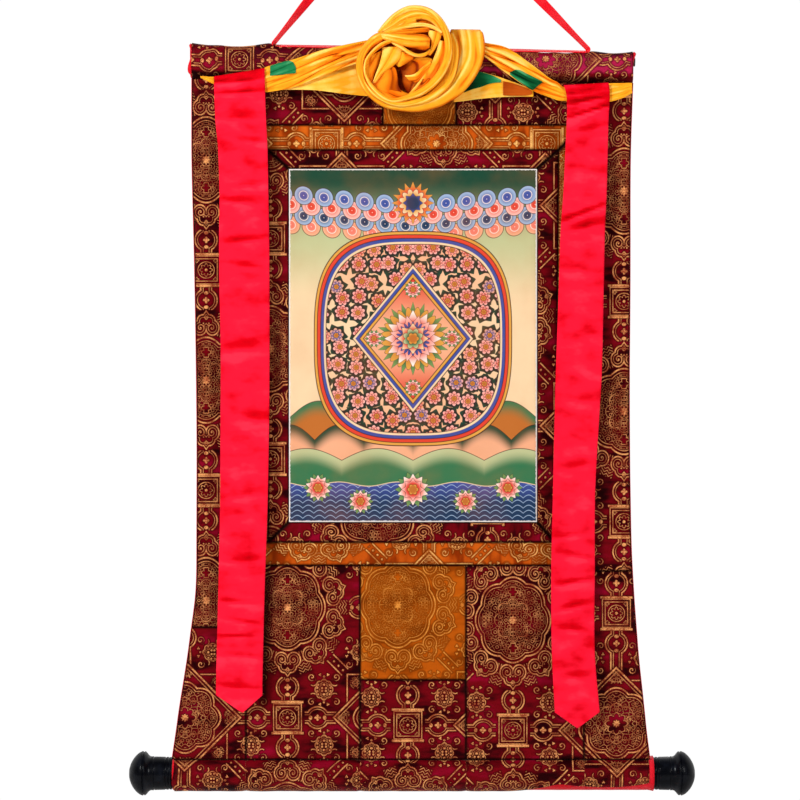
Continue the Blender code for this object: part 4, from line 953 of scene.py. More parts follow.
def build_rosette():
    """The veil wound on itself: strands, each a gathered sheet closed on itself, and broad facets between."""
    for seed, (name, (tone_from, tone_to, pleat, rows)) in enumerate(STRANDS.items()):
        stations = curve_points(rows, STRAND_STEP)
        sides = max(28, round(2.0 * math.pi * max(row[3] for row in rows) / STRAND_SIDE))
        places, woven = [], []
        for i, (x, height, forward, wide, thick) in enumerate(stations):
            before, after = stations[max(i - 1, 0)], stations[min(i + 1, len(stations) - 1)]
            along = Vector((after[0] - before[0], 0.0, after[1] - before[1])).normalized()
            across = Vector((-along.z, 0.0, along.x))
            middle = point(*seen_place(ROSETTE_X + x, forward, ROSETTE_DROP - height))
            tone = mix(tone_from, tone_to, i / (len(stations) - 1))
            run = i * STRAND_STEP
            ring, ring_woven = strand_ring(middle, across, wide, thick, run, 11.0 * seed, tone, pleat, sides)
            places += ring
            woven += ring_woven
        faces = grid_faces(len(stations), sides, ring=True)
        faces += [tuple(range(sides)), tuple(reversed(range(len(places) - sides, len(places))))]
        mesh = new_mesh(f"veil_rosette_{name}", places, faces, woven)
        length = len(stations) * STRAND_STEP * MM
        girth = turn_outward(mesh) / 2.0 / length
        strand = new_piece(mesh, "satin_yellow", "veil_rosette")
    for seed, (name, (tone_left, tone_right, rows)) in enumerate(FACETS.items()):
        build_facet(name, tone_left, tone_right, rows, 5.0 * seed)


def build_facet(name, tone_left, tone_right, rows, seed):
    """A broad fold in the rosette: a sheet between two edges, a little swollen, with a soft crease or two."""
    keyed = [(i / (len(rows) - 1), *row) for i, row in enumerate(rows)]
    wide = max(math.dist(row[:3], row[3:]) for row in rows)
    tall = sum(math.dist(rows[i][:3], rows[i + 1][:3]) for i in range(len(rows) - 1))
    grid = []
    for down in shares(0.0, 1.0, FACET_STEPS):
        edges = read_rows(keyed, down)
        row = []
        for across in shares(0.0, 1.0, FACET_STEPS):
            x, height, forward = (mix(edges[k], edges[k + 3], across) for k in range(3))
            crossing = wobble(across * 1.6 + 0.5 * down, down * tall / FACET_LUMP, seed)
            crease = bell(crossing, FACET_CREASE)
            broad = min(1.0, wide / FACET_BROAD)
            swell = FACET_SWELL * math.sin(math.pi * across) * broad
            forward += swell + FACET_WAVE * (abs(crossing) - FACET_CREASE_DEEP * crease) * broad
            # Painted shade in the crease, painted highlight where the facet swells
            shade = mix(tone_left, tone_right, across) + FACET_CREASE_SHADE * crease
            shade = shade - FACET_LIGHT * abs(crossing) + FACET_TONE
            place = seen_place(ROSETTE_X + x, forward, ROSETTE_DROP - height)
            row.append((*place, across * wide, down * tall, clamp(shade, LIGHTEST, DEEPEST)))
        grid.append(row)
    cloth_piece("veil_rosette", "satin_yellow", grid, ending=name)


# Hanging tape: corner points as X and drop, radius it turns round, and how far it is turned edge-on
TAPE_WIDTH, TAPE_THICKNESS, TAPE_CORNER, TAPE_HOLLOW, TAPE_WEAVE_STEP = 11.5, 1.2, 2.2, 0.4, 3.0
TAPE_CORNERS = ((0.0, 1.2), (210.4, 214.8), (-167.0, 207.4))
TAPE_LEG_TURN, TAPE_BASE_TURN, TAPE_CORNER_TURN = 20.0, 66.0, 74.0
TAPE_LEG_STEPS, TAPE_CORNER_STEPS, TAPE_UNTWIST, TAPE_COLUMNS = 90, 12, 2.5, 8


def tape_path():
    """Places along the closed tape with its direction and how far it is turned edge-on, corner by corner."""
    corners = [Vector((x, 0.0, -drop)) for x, drop in TAPE_CORNERS]
    bends = []
    for i, corner in enumerate(corners):
        way_in, way_out = (corner - corners[i - 1]).normalized(), (corners[(i + 1) % 3] - corner).normalized()
        half_turn = way_in.angle(way_out) / 2
        bends.append((corner, way_in, way_out, half_turn, TAPE_CORNER * math.tan(half_turn)))
    path = []
    for i, (corner, way_in, way_out, half_turn, back) in enumerate(bends):
        centre = corner + (way_out - way_in).normalized() * TAPE_CORNER / math.cos(half_turn)
        spoke, axis = corner - way_in * back - centre, way_in.cross(way_out).normalized()
        for angle in shares(0.0, 2.0 * half_turn, TAPE_CORNER_STEPS):
            turned = spoke * math.cos(angle) + axis.cross(spoke) * math.sin(angle)
            path.append((centre + turned, axis.cross(turned).normalized(), TAPE_CORNER_TURN))
        next_corner, next_way_in, _, _, next_back = bends[(i + 1) % 3]
        run_from, run_to = corner + way_out * back, next_corner - next_way_in * next_back
        leg_turn = TAPE_BASE_TURN if i == 1 else TAPE_LEG_TURN
        for share in shares(0.0, 1.0, TAPE_LEG_STEPS)[1:-1]:
            opened = smooth(min(share, 1.0 - share) * TAPE_UNTWIST)
            path.append((run_from.lerp(run_to, share), way_out, mix(TAPE_CORNER_TURN, leg_turn, opened)))
    return path


def build_tape():
    """Closed triangle of flat tape, a little hollow across, flat to the front along its legs."""
    depth_way = Vector((0.0, 1.0, 0.0))
    grid, run = [], 0.0
    for middle, along, turned in tape_path():
        in_plane = along.cross(depth_way).normalized()
        angle = math.radians(turned)
        wide = in_plane * math.cos(angle) - depth_way * math.sin(angle)
        thick = along.cross(wide).normalized()
        row = []
        for across in shares(-0.5, 0.5, TAPE_COLUMNS):
            hollow = TAPE_HOLLOW * (4.0 * across * across - 0.33)
            place = middle + wide * across * TAPE_WIDTH + thick * hollow
            row.append((place.x, place.y, -place.z, across * TAPE_WIDTH, run))
        grid.append(row)
        run += TAPE_WEAVE_STEP
    grid.append(grid[0])
    cloth_piece("hanging_tape", "tape_red", grid, TAPE_THICKNESS)


# Numbers and colours in a material's nodes


class Number:
    """A number in a node tree: + - * / and the functions below add the nodes that carry it on."""

    def __init__(self, socket):
        self.socket = socket

    def __add__(self, other):
        return math_node("ADD", self, other)

    def __sub__(self, other):
        return math_node("SUBTRACT", self, other)

    def __rsub__(self, other):
        return math_node("SUBTRACT", other, self)

    def __mul__(self, other):
        return math_node("MULTIPLY", self, other)

    def __abs__(self):
        return math_node("ABSOLUTE", self)

    __radd__, __rmul__ = __add__, __mul__


def feed(tree, socket, value):
    """Sets a node's input to a plain value, or links it to a Number's or a colour's output."""
    value = value.socket if isinstance(value, Number) else value
    if isinstance(value, bpy.types.NodeSocket):
        tree.links.new(value, socket)
    else:
        socket.default_value = (*value, 1.0) if socket.type == "RGBA" else value


def math_node(operation, *values):
    tree = next(value.socket.id_data for value in values if isinstance(value, Number))
    node = tree.nodes.new("ShaderNodeMath")
    node.operation = operation
    for socket, value in zip(node.inputs, values):
        feed(tree, socket, value)
    return Number(node.outputs[0])


def least(first, *others):
    for other in others:
        first = math_node("MINIMUM", first, other)
    return first


def most(first, *others):
    for other in others:
        first = math_node("MAXIMUM", first, other)
    return first


def reach(x, y):
    """Distance of a place from the origin."""
    return math_node("SQRT", math_node("MULTIPLY_ADD", x, x, y * y))


def fold(value, period):
    """Distance to the nearest whole multiple of the period: a mirror-symmetric repeat."""
    return abs(math_node("WRAP", value, period / 2, -period / 2))


def ramp(value, low, high):
    """0 below low, 1 above high and soft between them; the other way round where low is above high."""
    tree = value.socket.id_data
    node = tree.nodes.new("ShaderNodeMapRange")
    node.interpolation_type = "SMOOTHSTEP"
    for name, given in (("Value", value), ("From Min", low), ("From Max", high)):
        feed(tree, node.inputs[name], given)
    return Number(node.outputs["Result"])


def petals(x, y, count, base, swing, turn=0.0, pointed=False):
    """Distance beyond an outline of petals about the origin, the first of them towards +X."""
    angle = (math_node("ARCTAN2", y, x) + turn) * (count / 2)
    wave = 1.0 - abs(math_node("SINE", angle)) if pointed else abs(math_node("COSINE", angle))
    return reach(x, y) - (base + swing * wave)


def tint(amount, low, high):
    """A colour from low to high by an amount, as a node's output."""
    tree = amount.socket.id_data
    node = tree.nodes.new("ShaderNodeMix")
    node.data_type = "RGBA"
    feed(tree, node.inputs[0], amount)
    feed(tree, node.inputs[6], low)
    feed(tree, node.inputs[7], high)
    return node.outputs[2]


def lay(under, ink, over, soft=0.4):
    """Paints a colour over another where ink is below 0."""
    return tint(ramp(ink, soft, -soft), under, over)


def cloth_place(tree):
    """Place on the cloth, across and along, in millimetres, how deep its painted shade is, below 0 a painted
    highlight or sheen, and the three in one.
    """
    woven = tree.nodes.new("ShaderNodeAttribute")
    woven.attribute_name = "cloth"
    return (*parts(tree, woven.outputs["Vector"]), woven.outputs["Vector"])


def coordinates(tree, kind):
    return tree.nodes.new("ShaderNodeTexCoord").outputs[kind]


def parts(tree, vector):
    split = tree.nodes.new("ShaderNodeSeparateXYZ")
    feed(tree, split.inputs[0], vector)
    return tuple(Number(output) for output in split.outputs)


def joined(tree, x, y):
    node = tree.nodes.new("ShaderNodeCombineXYZ")
    feed(tree, node.inputs[0], x)
    feed(tree, node.inputs[1], y)
    return node.outputs[0]


def cells(tree, vector, size, feature="F1", uneven=1.0):
    """A net of cells of about the size given, as a node: flat, and the same for every depth of painted shade.
    """
    node = tree.nodes.new("ShaderNodeTexVoronoi")
    node.feature, node.voronoi_dimensions = feature, "2D"
    node.inputs["Scale"].default_value = 1.0 / size
    node.inputs["Randomness"].default_value = uneven
    feed(tree, node.inputs["Vector"], vector)
    return node


def cell_distance(tree, vector, size, feature="F1", uneven=1.0):
    """Distance to the middle of the nearest cell of such a net, or to its nearest edge, in millimetres."""
    return Number(cells(tree, vector, size, feature, uneven).outputs["Distance"]) * size


def clouds(tree, vector, size, detail=2.0, stretch=(1.0, 1.0, 1.0)):
    """Soft noise from 0 to 1 whose lumps measure about the size given."""
    scaled = tree.nodes.new("ShaderNodeVectorMath")
    scaled.operation = "MULTIPLY"
    feed(tree, scaled.inputs[0], vector)
    scaled.inputs[1].default_value = [share / size for share in stretch]
    node = tree.nodes.new("ShaderNodeTexNoise")
    feed(tree, node.inputs["Vector"], scaled.outputs[0])
    node.inputs["Scale"].default_value = 1.0
    node.inputs["Detail"].default_value = detail
    return Number(node.outputs["Fac"])


def bump(tree, height, distance, strength):
    node = tree.nodes.new("ShaderNodeBump")
    node.inputs["Strength"].default_value = strength
    node.inputs["Distance"].default_value = distance * MM
    feed(tree, node.inputs["Height"], height)
    return node.outputs["Normal"]


# The woven figure

DIAMOND, SQUARE_WIDE, SQUARE_LONG = 67.0, 50.5, 51.5
LOBES_BASE, LOBES_SWING = 37.0, 5.0
RING_STRETCH, MEDALLION_BASE, MEDALLION_SWING = 1.14, 46.0, 4.5
CLOUD_RING, CLOUD_SECTOR = 66.0, math.radians(36)
LINK_AT, LINK_RADIUS, LINK_CHANNEL = 35.5, 13.0, 6.4
THREAD = 0.5
CURL_CELL, CURL_RING, CURL_HALF, CURL_EDGE = 6.2, 1.7, 0.38, 0.3
SCROLL_CELL, SCROLL_RING, SCROLL_HALF = 7.0, 1.5, 0.4
SHELL_CELL, SHELL_NODE = 5.2, 1.4


def line(from_middle, half_width):
    """Ink of a line: below 0 within its half width of where the distance given is 0."""
    return abs(from_middle) - half_width


def filigree(tree, place):
    """Dense small curls: a ring in each cell of an uneven net."""
    edges = cell_distance(tree, place, CURL_CELL, "DISTANCE_TO_EDGE") - CURL_EDGE
    return least(line(cell_distance(tree, place, CURL_CELL) - CURL_RING, CURL_HALF), edges)


def spiral(x, y, pitch, radius, half_width):
    """Ink of a spiral that winds out from the origin."""
    away = reach(x, y)
    turn = math_node("ARCTAN2", y, x) * (pitch / (2.0 * math.pi))
    return most(line(fold(away + turn, pitch), half_width), away - radius)


def scrollwork(tree, place):
    """Winding lines: the edges of an uneven net, with a small ring in some of its cells."""
    edges = cell_distance(tree, place, SCROLL_CELL, "DISTANCE_TO_EDGE") - SCROLL_HALF
    return least(edges, line(cell_distance(tree, place, SCROLL_CELL) - SCROLL_RING, SCROLL_HALF))


def star_ink(a, b, near, far, place):
    """Eight-pointed star: a diamond over a square, a lobed medallion in it, and what is round its corners."""
    tree = a.socket.id_data
    diamond = (a + b - DIAMOND) * math.sqrt(0.5)
    square = most(a - SQUARE_WIDE, b - SQUARE_LONG)
    curls, notch_a, notch_b = filigree(tree, place), a - 39.0, b - 41.0
    lobes, core = petals(a, b, 8, LOBES_BASE, LOBES_SWING), petals(a, b, 8, 9.0, 4.0)
    ink = least(
        line(diamond + 1.1, 1.1), line(diamond + 4.9, 0.6), most(line(square + 0.9, 0.85), 1.0 - diamond),
        most(curls, reach(notch_a, notch_b) - 7.4), line(petals(notch_a, notch_b, 4, 2.0, 2.0), 0.6),
        most(curls, petals(near - 53.0, far, 3, 4.0, 5.0)), line(lobes, 1.0), line(lobes + 3.9, 0.55),
        line(core, 0.6), petals(a, b, 8, 2.4, 2.2), line(petals(a, b, 8, 21.0, 3.0), 0.5),
        most(scrollwork(tree, place), lobes + 5.8, -1.0 * core),
    )
    band_along, band_across = (a + b - 106.0) * math.sqrt(0.5), abs((b - a - 1.0) * math.sqrt(0.5))
    band = least(line(band_across - 5.2, 0.85), reach(fold(band_along - 3.0, 7.4), band_across) - 1.4)
    ink = least(ink, most(band, abs(band_along - 12.0) - 12.5))
    return ink, diamond


def scroll_ink(x, y):
    """Small creature of scrolls: a round shell of knobs with four curled legs."""
    x, y = abs(x), abs(y)
    tree = x.socket.id_data
    shell = petals(x, y * 0.88, 8, 9.0, 1.6)
    net = cell_distance(tree, joined(tree, x, y), SHELL_CELL, uneven=0.5)
    ink = most(least(net - SHELL_NODE, line(net - SHELL_NODE - 1.5, 0.35)), shell + 0.8)
    ink = least(ink, line(shell, 0.65), reach(x, y - 15.0) - 1.4, petals(x - 4.6, y - 17.2, 3, 0.8, 1.2))
    leg = most(line(reach(x - 12.6, y - 8.6) - 4.2, 0.65), x + y - 21.0, 9.6 - x)
    return least(ink, leg, spiral(x - 14.4, y - 14.4, 3.6, 4.4, 0.65))


def cloud_shape(out, side):
    """Outline of a ruyi cloud: two round heads side by side, a swelling below, a point that faces out."""
    heads = reach(out + 4.0, side - 8.4) - 8.9
    swelling = reach(out - 3.4, side - 4.2) - 7.8
    tip = most(out * 0.8 + side - 12.6, 5.0 - out)
    return least(heads, swelling, tip)


def medallion_ink(c, d, place):
    """Lobed medallion full of fine curls, in a ring of ten ruyi clouds."""
    c = c * RING_STRETCH
    far = reach(c, d)
    outline = petals(c, d, 8, MEDALLION_BASE, MEDALLION_SWING)
    crown = petals(c, d - 33.0, 5, 3.4, 3.0)
    sector = fold(math_node("ARCTAN2", d, c) - CLOUD_SECTOR / 2, CLOUD_SECTOR)
    out, side = far * math_node("COSINE", sector) - CLOUD_RING, far * math_node("SINE", sector)
    cloud, between = cloud_shape(out, side), CLOUD_SECTOR / 2 - sector
    fan_out, fan_side = far * math_node("COSINE", between) - 68.0, far * math_node("SINE", between)
    fan = line(fold(fan_out + abs(fan_side - 3.4) * 0.8, 3.8), 0.6)
    ink = least(
        line(outline, 1.1), line(outline + 4.2, 0.6), line(crown, 0.65), petals(c, d, 8, 3.0, 2.4),
        line(petals(c, d, 8, 20.0, 5.0), 0.5), line(cloud, 0.95), line(cloud + 3.1, 0.5),
        most(filigree(c.socket.id_data, place), outline + 6.0, -1.0 * crown),
        spiral(out + 4.2, side - 7.6, 3.6, 4.8, 0.65), reach(out + 4.2, side - 7.6) - 1.0,
        line(reach(out - 7.4, side) - 1.6, 0.6), reach(out - 1.0, side - 3.6) - 1.1,
        most(fan, abs(fan_out - 5.0) - 7.6, 1.8 - cloud, fan_side - 8.4),
        most(line(fan_side - 1.8, 0.55), abs(fan_out + 9.0) - 5.0, 1.5 - cloud),
    )
    return ink, far


def link_ink(x, y, outside):
    """Framed square with a ringed flower, and the bow-tie links that lead from its four sides."""
    near, far = least(x, y), most(x, y)
    box = least(line(far - 13.2, 0.65), line(far - 16.4, 0.65), most(line(y - 18.6, 1.5), x - 19.0))
    box = least(box, line(reach(x, y) - 9.6, 0.6), line(petals(x, y, 8, 4.6, 2.8), 0.6), reach(x, y) - 1.8)
    box = least(box, line(petals(x - 11.0, y - 11.0, 4, 0.9, 1.6), 0.5))
    along = far - LINK_AT
    shape = least(reach(along, near) - LINK_RADIUS, near - LINK_CHANNEL)
    link = least(line(shape, 0.9), line(shape + 2.9, 0.5))
    flower = least(petals(along, near, 4, 1.8, 2.2), reach(abs(along) - 8.4, near * 0.8) - 2.2)
    link = most(least(link, flower), 20.4 - far, outside)
    return least(box, link)


def figure_group():
    """The repeat as a node group: from a place on the cloth, in millimetres, to ink, below 0 on a line."""
    group = bpy.data.node_groups.new("WovenFigure", "ShaderNodeTree")
    group.interface.new_socket("Cloth", in_out="INPUT", socket_type="NodeSocketVector")
    group.interface.new_socket("Ink", in_out="OUTPUT", socket_type="NodeSocketFloat")
    given = group.nodes.new("NodeGroupInput")
    across, along, _ = parts(group, given.outputs[0])
    a = fold(math_node("SNAP", across, THREAD) + THREAD / 2, SHORT_REPEAT)
    b = fold(math_node("SNAP", along, THREAD) + THREAD / 2, LONG_REPEAT)
    place = joined(group, a, b)
    near_star, beside = most(a, b), least(a, b)
    ink, diamond = star_ink(a, b, near_star, beside, place)
    ink = least(ink, scroll_ink(near_star - 77.0, beside - 33.0))
    c, d = SHORT_REPEAT / 2 - a, LONG_REPEAT / 2 - b
    ring, far = medallion_ink(c, d, place)
    ink = least(ink, ring)
    other = math_node("GREATER_THAN", c + b, a + d)
    x, y = math_node("MULTIPLY_ADD", other, a - c, c), math_node("MULTIPLY_ADD", other, d - b, b)
    ink = least(ink, link_ink(x, y, most(1.6 - diamond, CLOUD_RING + 17.0 - far)))
    output = group.nodes.new("NodeGroupOutput")
    feed(group, output.inputs[0], ink)
    return group


# Brocade finishes: ground in painted shadow, as it is and in painted light, thread in two tones mixed in small
# spots, painted shadow beside a thread
BROCADES = {
    "brocade_maroon": (
        (0.014, 0.0002, 0.0012), (0.140, 0.0012, 0.0045), (0.23, 0.0014, 0.016),
        (0.28, 0.048, 0.017), (0.82, 0.35, 0.12), 0.8,
    ),
    "brocade_orange": (
        (0.22, 0.022, 0.001), (0.47, 0.070, 0.004), (0.57, 0.105, 0.006),
        (0.38, 0.095, 0.012), (0.86, 0.45, 0.13), 0.8,
    ),
    "brocade_gold": (
        (0.24, 0.038, 0.001), (0.43, 0.078, 0.003), (0.52, 0.112, 0.005),
        (0.40, 0.100, 0.009), (0.72, 0.27, 0.04), 0.7,
    ),
}
# Colour of the painted shade along seams, mitres, the streamer's edge, the sleeve's lower line and the
# roller's crease, colour of the painted sheen on the sleeve, how worn the thread's lines are
PAINTED_SHADE_COLOUR, PAINTED_SHEEN, LINE_WORN = (0.004, 0.0002, 0.0004), (0.42, 0.012, 0.062), 0.17


def brocade(tree, shadow, plain, lit, thread_dark, thread_light, edge):
    """Ribbed ground with blotches of painted shadow and painted light, gilt thread along the lines of the
    woven figure, painted shadow beside the thread, and the painted shade or painted sheen that the cloth's
    points carry.
    """
    # seam is the cloth's third number: painted shade above 0, painted sheen below 0
    _, along, seam, place = cloth_place(tree)
    figure = tree.nodes.new("ShaderNodeGroup")
    figure.node_tree = bpy.data.node_groups.get("WovenFigure") or figure_group()
    feed(tree, figure.inputs[0], place)
    speckle = clouds(tree, place, 1.9)
    ink = Number(figure.outputs[0])
    mask = ramp(ink + LINE_WORN + (speckle - 0.5) * 1.3, 0.3, -0.3)
    # Painted shadow and painted light: blotches darken or lighten the ground
    sheen = clouds(tree, place, 40.0, 3.0, (0.6, 1.7, 1.0))
    ground = tint(ramp(sheen, 0.54, 0.38), plain, shadow)
    ground = tint(ramp(sheen, 0.54, 0.70), ground, lit)
    # Painted sheen where the third number is below 0
    ground = tint(ramp(seam, 0.0, -1.0), ground, PAINTED_SHEEN)
    # Painted shadow beside each thread
    ground = tint(ramp(ink, 2.2, 0.2) * edge, ground, [0.3 * share for share in plain])
    thread = tint(ramp(speckle + clouds(tree, place, 12.0), 0.75, 1.25), thread_dark, thread_light)
    ribs = fold(along, THREAD) + clouds(tree, place, 5.0, 3.0) * 1.4
    return {
        # Painted shade where the third number is above 0
        "Base Color": tint(ramp(seam, 0.0, 1.0), tint(mask * 0.94, ground, thread), PAINTED_SHADE_COLOUR),
        "Roughness": 0.44 + mask * 0.06,
        "Metallic": mask * 0.15,
        "Normal": bump(tree, ribs, 0.35, 0.5),
        "Specular IOR Level": 0.04,
        "Specular Tint": (1.0, 0.55, 0.4),
    }


# Satins: painted highlight on a ridge, colour as it is, painted shade in a fold and at the bottom of one,
# roughness, how far blotches of painted shade deepen it
SATINS = {
    "satin_red": (
        (1.0, 0.024, 0.058), (0.92, 0.009, 0.034), (0.66, 0.0005, 0.006), (0.34, 0.0, 0.001), 0.42, 1.4,
    ),
    "lining_red": (
        (0.85, 0.03, 0.05), (0.62, 0.006, 0.014), (0.34, 0.002, 0.006), (0.12, 0.0, 0.002), 0.42, 0.45,
    ),
    "satin_yellow": (
        (1.0, 0.64, 0.13), (0.96, 0.38, 0.015), (0.8, 0.15, 0.002), (0.2, 0.008, 0.0), 0.36, 0.5,
    ),
    "satin_green": (
        (0.1, 0.38, 0.16), (0.012, 0.19, 0.065), (0.003, 0.07, 0.02), (0.001, 0.02, 0.008), 0.4, 0.5,
    ),
    "satin_orange": (
        (0.66, 0.16, 0.02), (0.46, 0.075, 0.006), (0.26, 0.03, 0.002), (0.09, 0.01, 0.0), 0.42, 0.5,
    ),
    "tape_red": (
        (0.92, 0.05, 0.06), (0.8, 0.008, 0.018), (0.5, 0.003, 0.009), (0.2, 0.0, 0.003), 0.42, 0.5,
    ),
}


def satin(tree, pale, plain, deep, dark, roughness, drift):
    """Plain satin: its colour deepens with painted shade in its folds and in soft blotches and pales with
    painted highlight on its ridges, over a fine slanting weave.
    """
    across, along, folded, place = cloth_place(tree)
    # Painted shade and highlight that the points carry, with blotches of painted shade
    depth = folded + (clouds(tree, place, 36.0, 3.0, (1.0, 1.6, 1.0)) - 0.5) * drift
    colour = tint(ramp(depth, -0.2, 0.06), pale, plain)
    colour = tint(ramp(depth, 0.08, 0.48), colour, deep)
    weave = fold(across + along * 0.5, 0.5) + clouds(tree, place, 7.0, 3.0, (1.0, 2.6, 1.0)) * 1.6
    return {
        "Base Color": tint(ramp(depth, 0.46, 0.9), colour, dark),
        "Roughness": roughness + clouds(tree, place, 9.0) * 0.1,
        "Normal": bump(tree, weave, 0.3, 0.4),
        "Specular IOR Level": 0.16,
        "Specular Tint": pale,
    }


# Painted panel: a generic design of lotus blossoms in frames, clouds, hills and water

PICTURE_WIDE, PICTURE_TALL = 146.2, 208.2
INK, NIGHT = (0.030, 0.010, 0.010), (0.010, 0.030, 0.075)
DEEP_GREEN, GREEN = (0.006, 0.050, 0.026), (0.030, 0.15, 0.06)
LEAF, PALE_GREEN = (0.16, 0.28, 0.08), (0.46, 0.47, 0.24)
CREAM, PEACH, GOLD, AMBER = (0.80, 0.56, 0.33), (0.78, 0.36, 0.20), (0.66, 0.30, 0.05), (0.46, 0.13, 0.02)
CORAL, ROSE, PINK, BLUSH = (0.66, 0.045, 0.022), (0.78, 0.17, 0.12), (0.86, 0.42, 0.36), (0.92, 0.74, 0.64)
BLUE, PALE_BLUE, CANVAS = (0.040, 0.065, 0.27), (0.30, 0.40, 0.56), (0.78, 0.70, 0.66)
MIDDLE_DROP, FRAME_WIDE, FRAME_TALL, LOZENGE_WIDE, LOZENGE_TALL = -8.0, 117.0, 127.0, 72.0, 88.0
FIELD_CELL, FIELD_BLOSSOM = 20.0, 8.6
# Blossoms, a row for each ring from the rim in: petals, share of the radius, pointed, turned by half a petal,
# colour near the middle and at the tips
MANDALA = (
    (20, 1.0, True, 0, DEEP_GREEN, LEAF), (20, 0.86, False, 1, AMBER, GOLD),
    (12, 0.78, True, 0, CORAL, BLUSH), (12, 0.64, True, 1, ROSE, PINK),
    (24, 0.46, False, 0, NIGHT, BLUE), (8, 0.42, True, 0, CORAL, CREAM),
    (8, 0.28, False, 1, GREEN, PALE_GREEN), (6, 0.16, False, 0, AMBER, GOLD),
)
WATER_LILY = (
    (10, 1.00, True, 0, GREEN, LEAF), (10, 0.88, True, 1, ROSE, BLUSH), (8, 0.62, True, 0, CORAL, PINK),
    (6, 0.30, False, 0, AMBER, GOLD),
)
SMALL_JEWEL = (
    (16, 1.0, True, 0, CORAL, GOLD), (12, 0.66, False, 1, GOLD, CREAM), (8, 0.46, True, 0, NIGHT, BLUE),
)
RIM = ((1.0, INK), (2.6, GOLD), (0.8, INK), (3.2, CORAL), (0.8, INK), (3.4, BLUE), (2.2, CREAM), (0.8, INK))
LOZENGE_RIM = ((0.9, INK), (2.2, CREAM), (3.4, BLUE), (0.8, INK), (2.6, GOLD), (0.9, INK))


def blossom(under, x, y, radius, rings, turn=0.0):
    """A flower seen from the front, painted ring by ring from its rim in."""
    away = reach(x, y)
    for count, share, pointed, half, near, far in rings:
        size = radius * share
        shape = petals(x, y, count, size * 0.72, size * 0.28, turn + half * math.pi / count, pointed)
        under = lay(under, shape - 0.6, INK)
        under = lay(under, shape, tint(ramp(away, size * 0.5, size * 0.98), near, far))
    return under


def banded(under, beyond, bands):
    """Bands along the inside of an outline, from the outside in, each a width and a colour."""
    for wide, colour in bands:
        under = lay(under, beyond, colour)
        beyond = beyond + wide
    return under, beyond


def hill(under, x, y, level, height, length, near, far):
    """Round hills in a row, dark along their crests."""
    beyond = level - height * abs(math_node("SINE", x * (math.pi / length))) - y
    under = lay(under, beyond - 0.8, INK)
    return lay(under, beyond, tint(ramp(beyond, -1.0, -20.0), far, near))


def cloud_bank(under, x, y, level, pitch, radius, near, far):
    """A row of round clouds, each of nested arcs."""
    lobe = reach(fold(x, pitch), y - level) - radius
    under = lay(under, lobe - 0.7, INK)
    under = lay(under, lobe, tint(ramp(lobe, -radius * 0.8, 0.0), near, far))
    return lay(under, most(line(fold(lobe, 5.2), 0.35), lobe + 1.0), BLUSH)


def flower_field(tree, under, x, y):
    """Blossoms of mixed colours with leaves between them, one in each cell of an uneven net."""
    net = cells(tree, joined(tree, x, y), FIELD_CELL, uneven=0.55)
    middle_x, middle_y, _ = parts(tree, net.outputs["Position"])
    chance, other, _ = parts(tree, net.outputs["Color"])
    local_x, local_y = x - middle_x, y - middle_y
    turn = other * 3.0
    warm = tint(math_node("GREATER_THAN", chance, 0.45), CORAL, ROSE)
    near = tint(math_node("GREATER_THAN", chance, 0.84), warm, BLUE)
    far = tint(math_node("GREATER_THAN", other, 0.6), PINK, PEACH)
    leaves = ((6, 1.0, True, 0, INK, DEEP_GREEN),)
    under = blossom(under, local_x, local_y, FIELD_BLOSSOM * 1.6, leaves, turn)
    rings = ((8, 1.0, False, 0, near, far), (8, 0.72, True, 1, near, PINK), (6, 0.36, False, 0, AMBER, GOLD))
    return blossom(under, local_x, local_y, FIELD_BLOSSOM, rings, turn)


